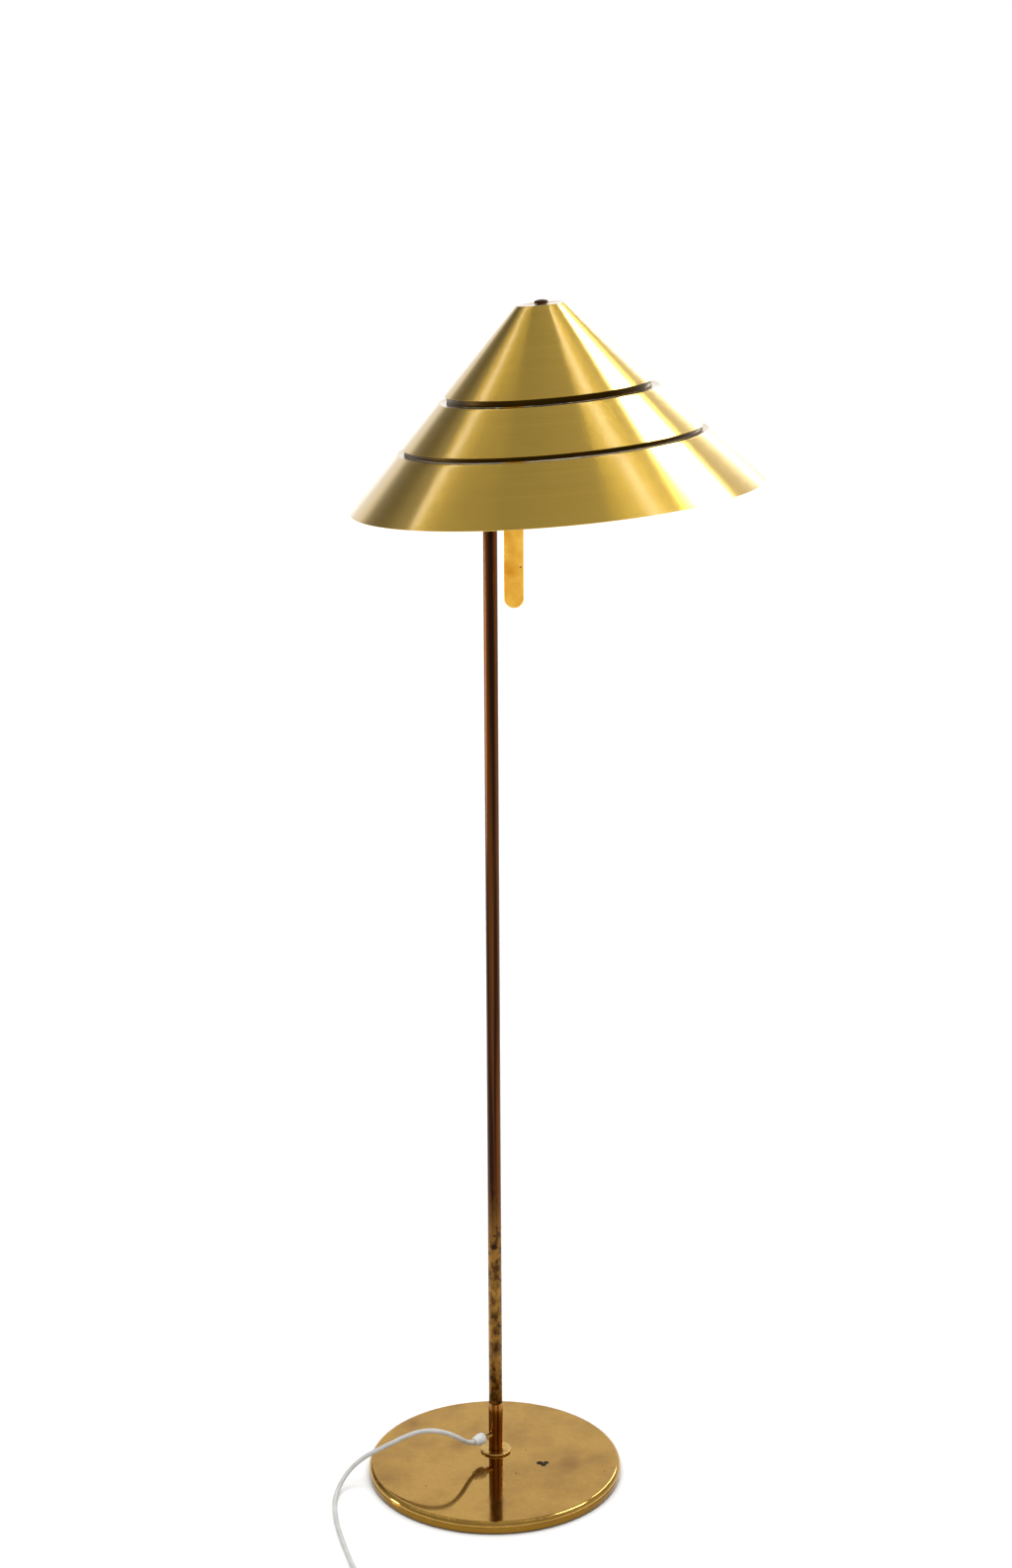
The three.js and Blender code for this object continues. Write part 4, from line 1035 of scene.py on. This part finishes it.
upper_ledge = TIERS["shade_top_tier"][1] - NECK_INSET - LEDGE_REACH
lower_ledge = TIERS["shade_middle_tier"][1] - NECK_INSET - LEDGE_REACH
on_body(make_tier("shade_top_tier"), "head", "brass_satin", "shade_top_tier")
on_body(make_tier("shade_middle_tier", upper_ledge), "head", "brass_satin", "shade_middle_tier")
on_body(make_tier("shade_lower_tier", lower_ledge), "head", "brass_satin", "shade_lower_tier")
on_body(make_neck("shade_neck_upper", "shade_top_tier", "shade_middle_tier"), "head", "brass_dark",
        "shade_neck_upper")
on_body(make_neck("shade_neck_lower", "shade_middle_tier", "shade_lower_tier"), "head", "brass_dark",
        "shade_neck_lower")
on_body(make_finial(), "head", "bronze", "finial_nut")
on_body(make_bulb(), "head", "opal_glass", "bulb_glass")
on_body(make_bulb_cap(), "head", "steel", "bulb_cap")
on_body(make_holder_cap(), "head", "bakelite", "holder_cap")
on_body(make_holder_shell(), "head", "bakelite", "holder_shell")


def make_head_lead():
    """The lead from the pole's top over to the lampholder, made in its rest shape; the real lead bends where
    the head tilts.
    """
    route = mm((0, 0, 1225.4), (0, 0.2, 1237), (0.8, 1.4, 1252), (3.2, 4.2, 1269), (8.4, 8.0, 1288),
               (16.4, 10.8, 1305), (27.2, 12, 1317.5), (39.6, 12, 1323.4))
    path = [HEAD @ Vector(point) for point in smooth_path(route, 8)]
    return carried("head_lead_round", path, LEAD_R, [PVC_JACKET])


lead = make_head_lead()
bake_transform(lead)
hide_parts("head_lead")


# ---- Carried-over nodes ----

NODES_BY_FINISH = [
    (CAST_IRON, ["base_weight"]),
    (ZINC_STEEL, ["base_washer", "base_nut", "foot_stud", "joint_nipple", "swivel_washer", "shade_washer",
                  "shade_nut", "shade_nipple", "holder_locknut"]),
    (FITTING_BRASS, ["swivel_head", "swivel_nut", "pivot_screw", "pivot_nut", "shade_bracket",
                     "holder_thread"]),
    (PVC_JACKET, ["pole_lead", "foot_lead"]),
    (FIBRE, ["pivot_washer"]),
    (PORCELAIN, ["holder_insulator"]),
    (PHENOLIC, ["switch_key"]),
]
for finish, nodes in NODES_BY_FINISH:
    for node in nodes:
        for material_slot in frame["nodes"][node].material_slots:
            material_slot.material = finish


# ---- Floor, light and air ----

FLOOR_REACH = 150.0
SHADE_MIDDLE = Vector((0.03, 0.02, 1.2))  # where the softboxes face


def make_floor():
    """A plain pale floor that fades to grey well in front of the lamp."""
    material, tree, place = new_material("matt_white_paper")
    depth = add(tree, "SeparateXYZ", {0: place}).outputs["Y"]
    near = add(tree, "MapRange", {0: depth, 1: -4.0, 2: -0.9}, interpolation_type="SMOOTHSTEP")
    colour = add(tree, "Mix", {0: near, 6: linear("#D2D2D0"), 7: linear("#F6F6F5")}, data_type="RGBA")
    mesh = bpy.data.meshes.new("floor")
    corners = [(x * FLOOR_REACH, y * FLOOR_REACH, 0) for x, y in ((-1, -1), (1, -1), (1, 1), (-1, 1))]
    mesh.from_pydata(corners, [], [(0, 1, 2, 3)])
    mesh.materials.append(shaded(material, Roughness=0.9, Specular_IOR_Level=0.1, Base_Color=colour))
    floor = bpy.data.objects.new("floor", mesh)
    bpy.context.scene.collection.objects.link(floor)


def softbox(name, azimuth, elevation, distance, size, radiance):
    """A rectangular light that faces the shade.

    Azimuth 0 is behind the lamp and 90 to its right, and radiance is per area.
    """
    turn, lift = math.radians(azimuth), math.radians(elevation)
    way = Vector((math.sin(turn) * math.cos(lift), math.cos(turn) * math.cos(lift), math.sin(lift)))
    data = bpy.data.lights.new(name, "AREA")
    data.shape = "RECTANGLE"
    data.size, data.size_y = size
    data.energy = radiance * math.pi * size[0] * size[1]
    light = bpy.data.objects.new(name, data)
    light.rotation_mode = "QUATERNION"
    light.location = SHADE_MIDDLE + distance * way
    light.rotation_quaternion = way.to_track_quat("Z", "Y")
    light.visible_camera = False
    light.visible_diffuse = False
    bpy.context.scene.collection.objects.link(light)


def make_overcast():
    """A wide soft light from straight above that whitens the floor and isn't mirrored in the brass."""
    data = bpy.data.lights.new("overcast", "SUN")
    data.energy = 2.6
    data.angle = math.radians(70)
    light = bpy.data.objects.new("overcast", data)
    light.visible_glossy = False
    bpy.context.scene.collection.objects.link(light)


def make_air():
    """White behind the lamp and at the horizon, and a dimmer room in front and above."""
    world = bpy.data.worlds.new("studio")
    bpy.context.scene.world = world
    world.use_nodes = True
    tree = world.node_tree
    tree.nodes.clear()
    smooth = {"interpolation_type": "SMOOTHSTEP"}
    place = add(tree, "TexCoord").outputs["Generated"]
    x, y, z = add(tree, "SeparateXYZ", {0: place}).outputs
    room = add(tree, "MapRange", {0: x, 1: -0.5, 2: 0.6, 3: 0.38, 4: 0.55})
    open_back = add(tree, "MapRange", {0: y, 1: 0.6, 2: 0.86, 3: room, 4: 0.92}, **smooth)
    # a dark doorway behind the lamp on its left
    doorway = add(tree, "VectorMath", {0: place, 1: (-0.515, 0.712, 0.477)}, operation="DOT_PRODUCT")
    gloom = add(tree, "MapRange", {0: doorway, 1: 0.957, 2: 0.987, 3: 1.0, 4: 0.3}, **smooth)
    back = add(tree, "Math", {0: open_back, 1: gloom}, operation="MULTIPLY")
    horizon = add(tree, "MapRange", {0: z, 1: 0.03, 2: 0.2, 3: 1.15, 4: 0.0}, **smooth)
    front = add(tree, "MapRange", {0: y, 1: -0.5, 2: 0.0, 3: 0.4, 4: 1.0})
    low = add(tree, "Math", {0: horizon, 1: front}, operation="MULTIPLY")
    level = add(tree, "Math", {0: back, 1: low}, operation="MAXIMUM")
    sky = add(tree, "Background", {"Color": linear("#FFFFFF"), "Strength": level})
    add(tree, "OutputWorld", {"Surface": sky})


make_floor()
make_air()
softbox("softbox_right", 60, 45, 3.0, (0.68, 1.1), 18.0)
softbox("softbox_right_narrow", 92, 66, 3.0, (0.08, 1.3), 9.0)
softbox("softbox_left", -66, 52, 3.0, (0.12, 1.6), 4.4)
softbox("softbox_low_left", -86, -14, 3.0, (0.45, 0.9), 12.0)
softbox("softbox_edge", 25, 20, 3.5, (0.5, 1.2), 10.0)
make_overcast()
bpy.context.scene.view_settings.view_transform = "Standard"
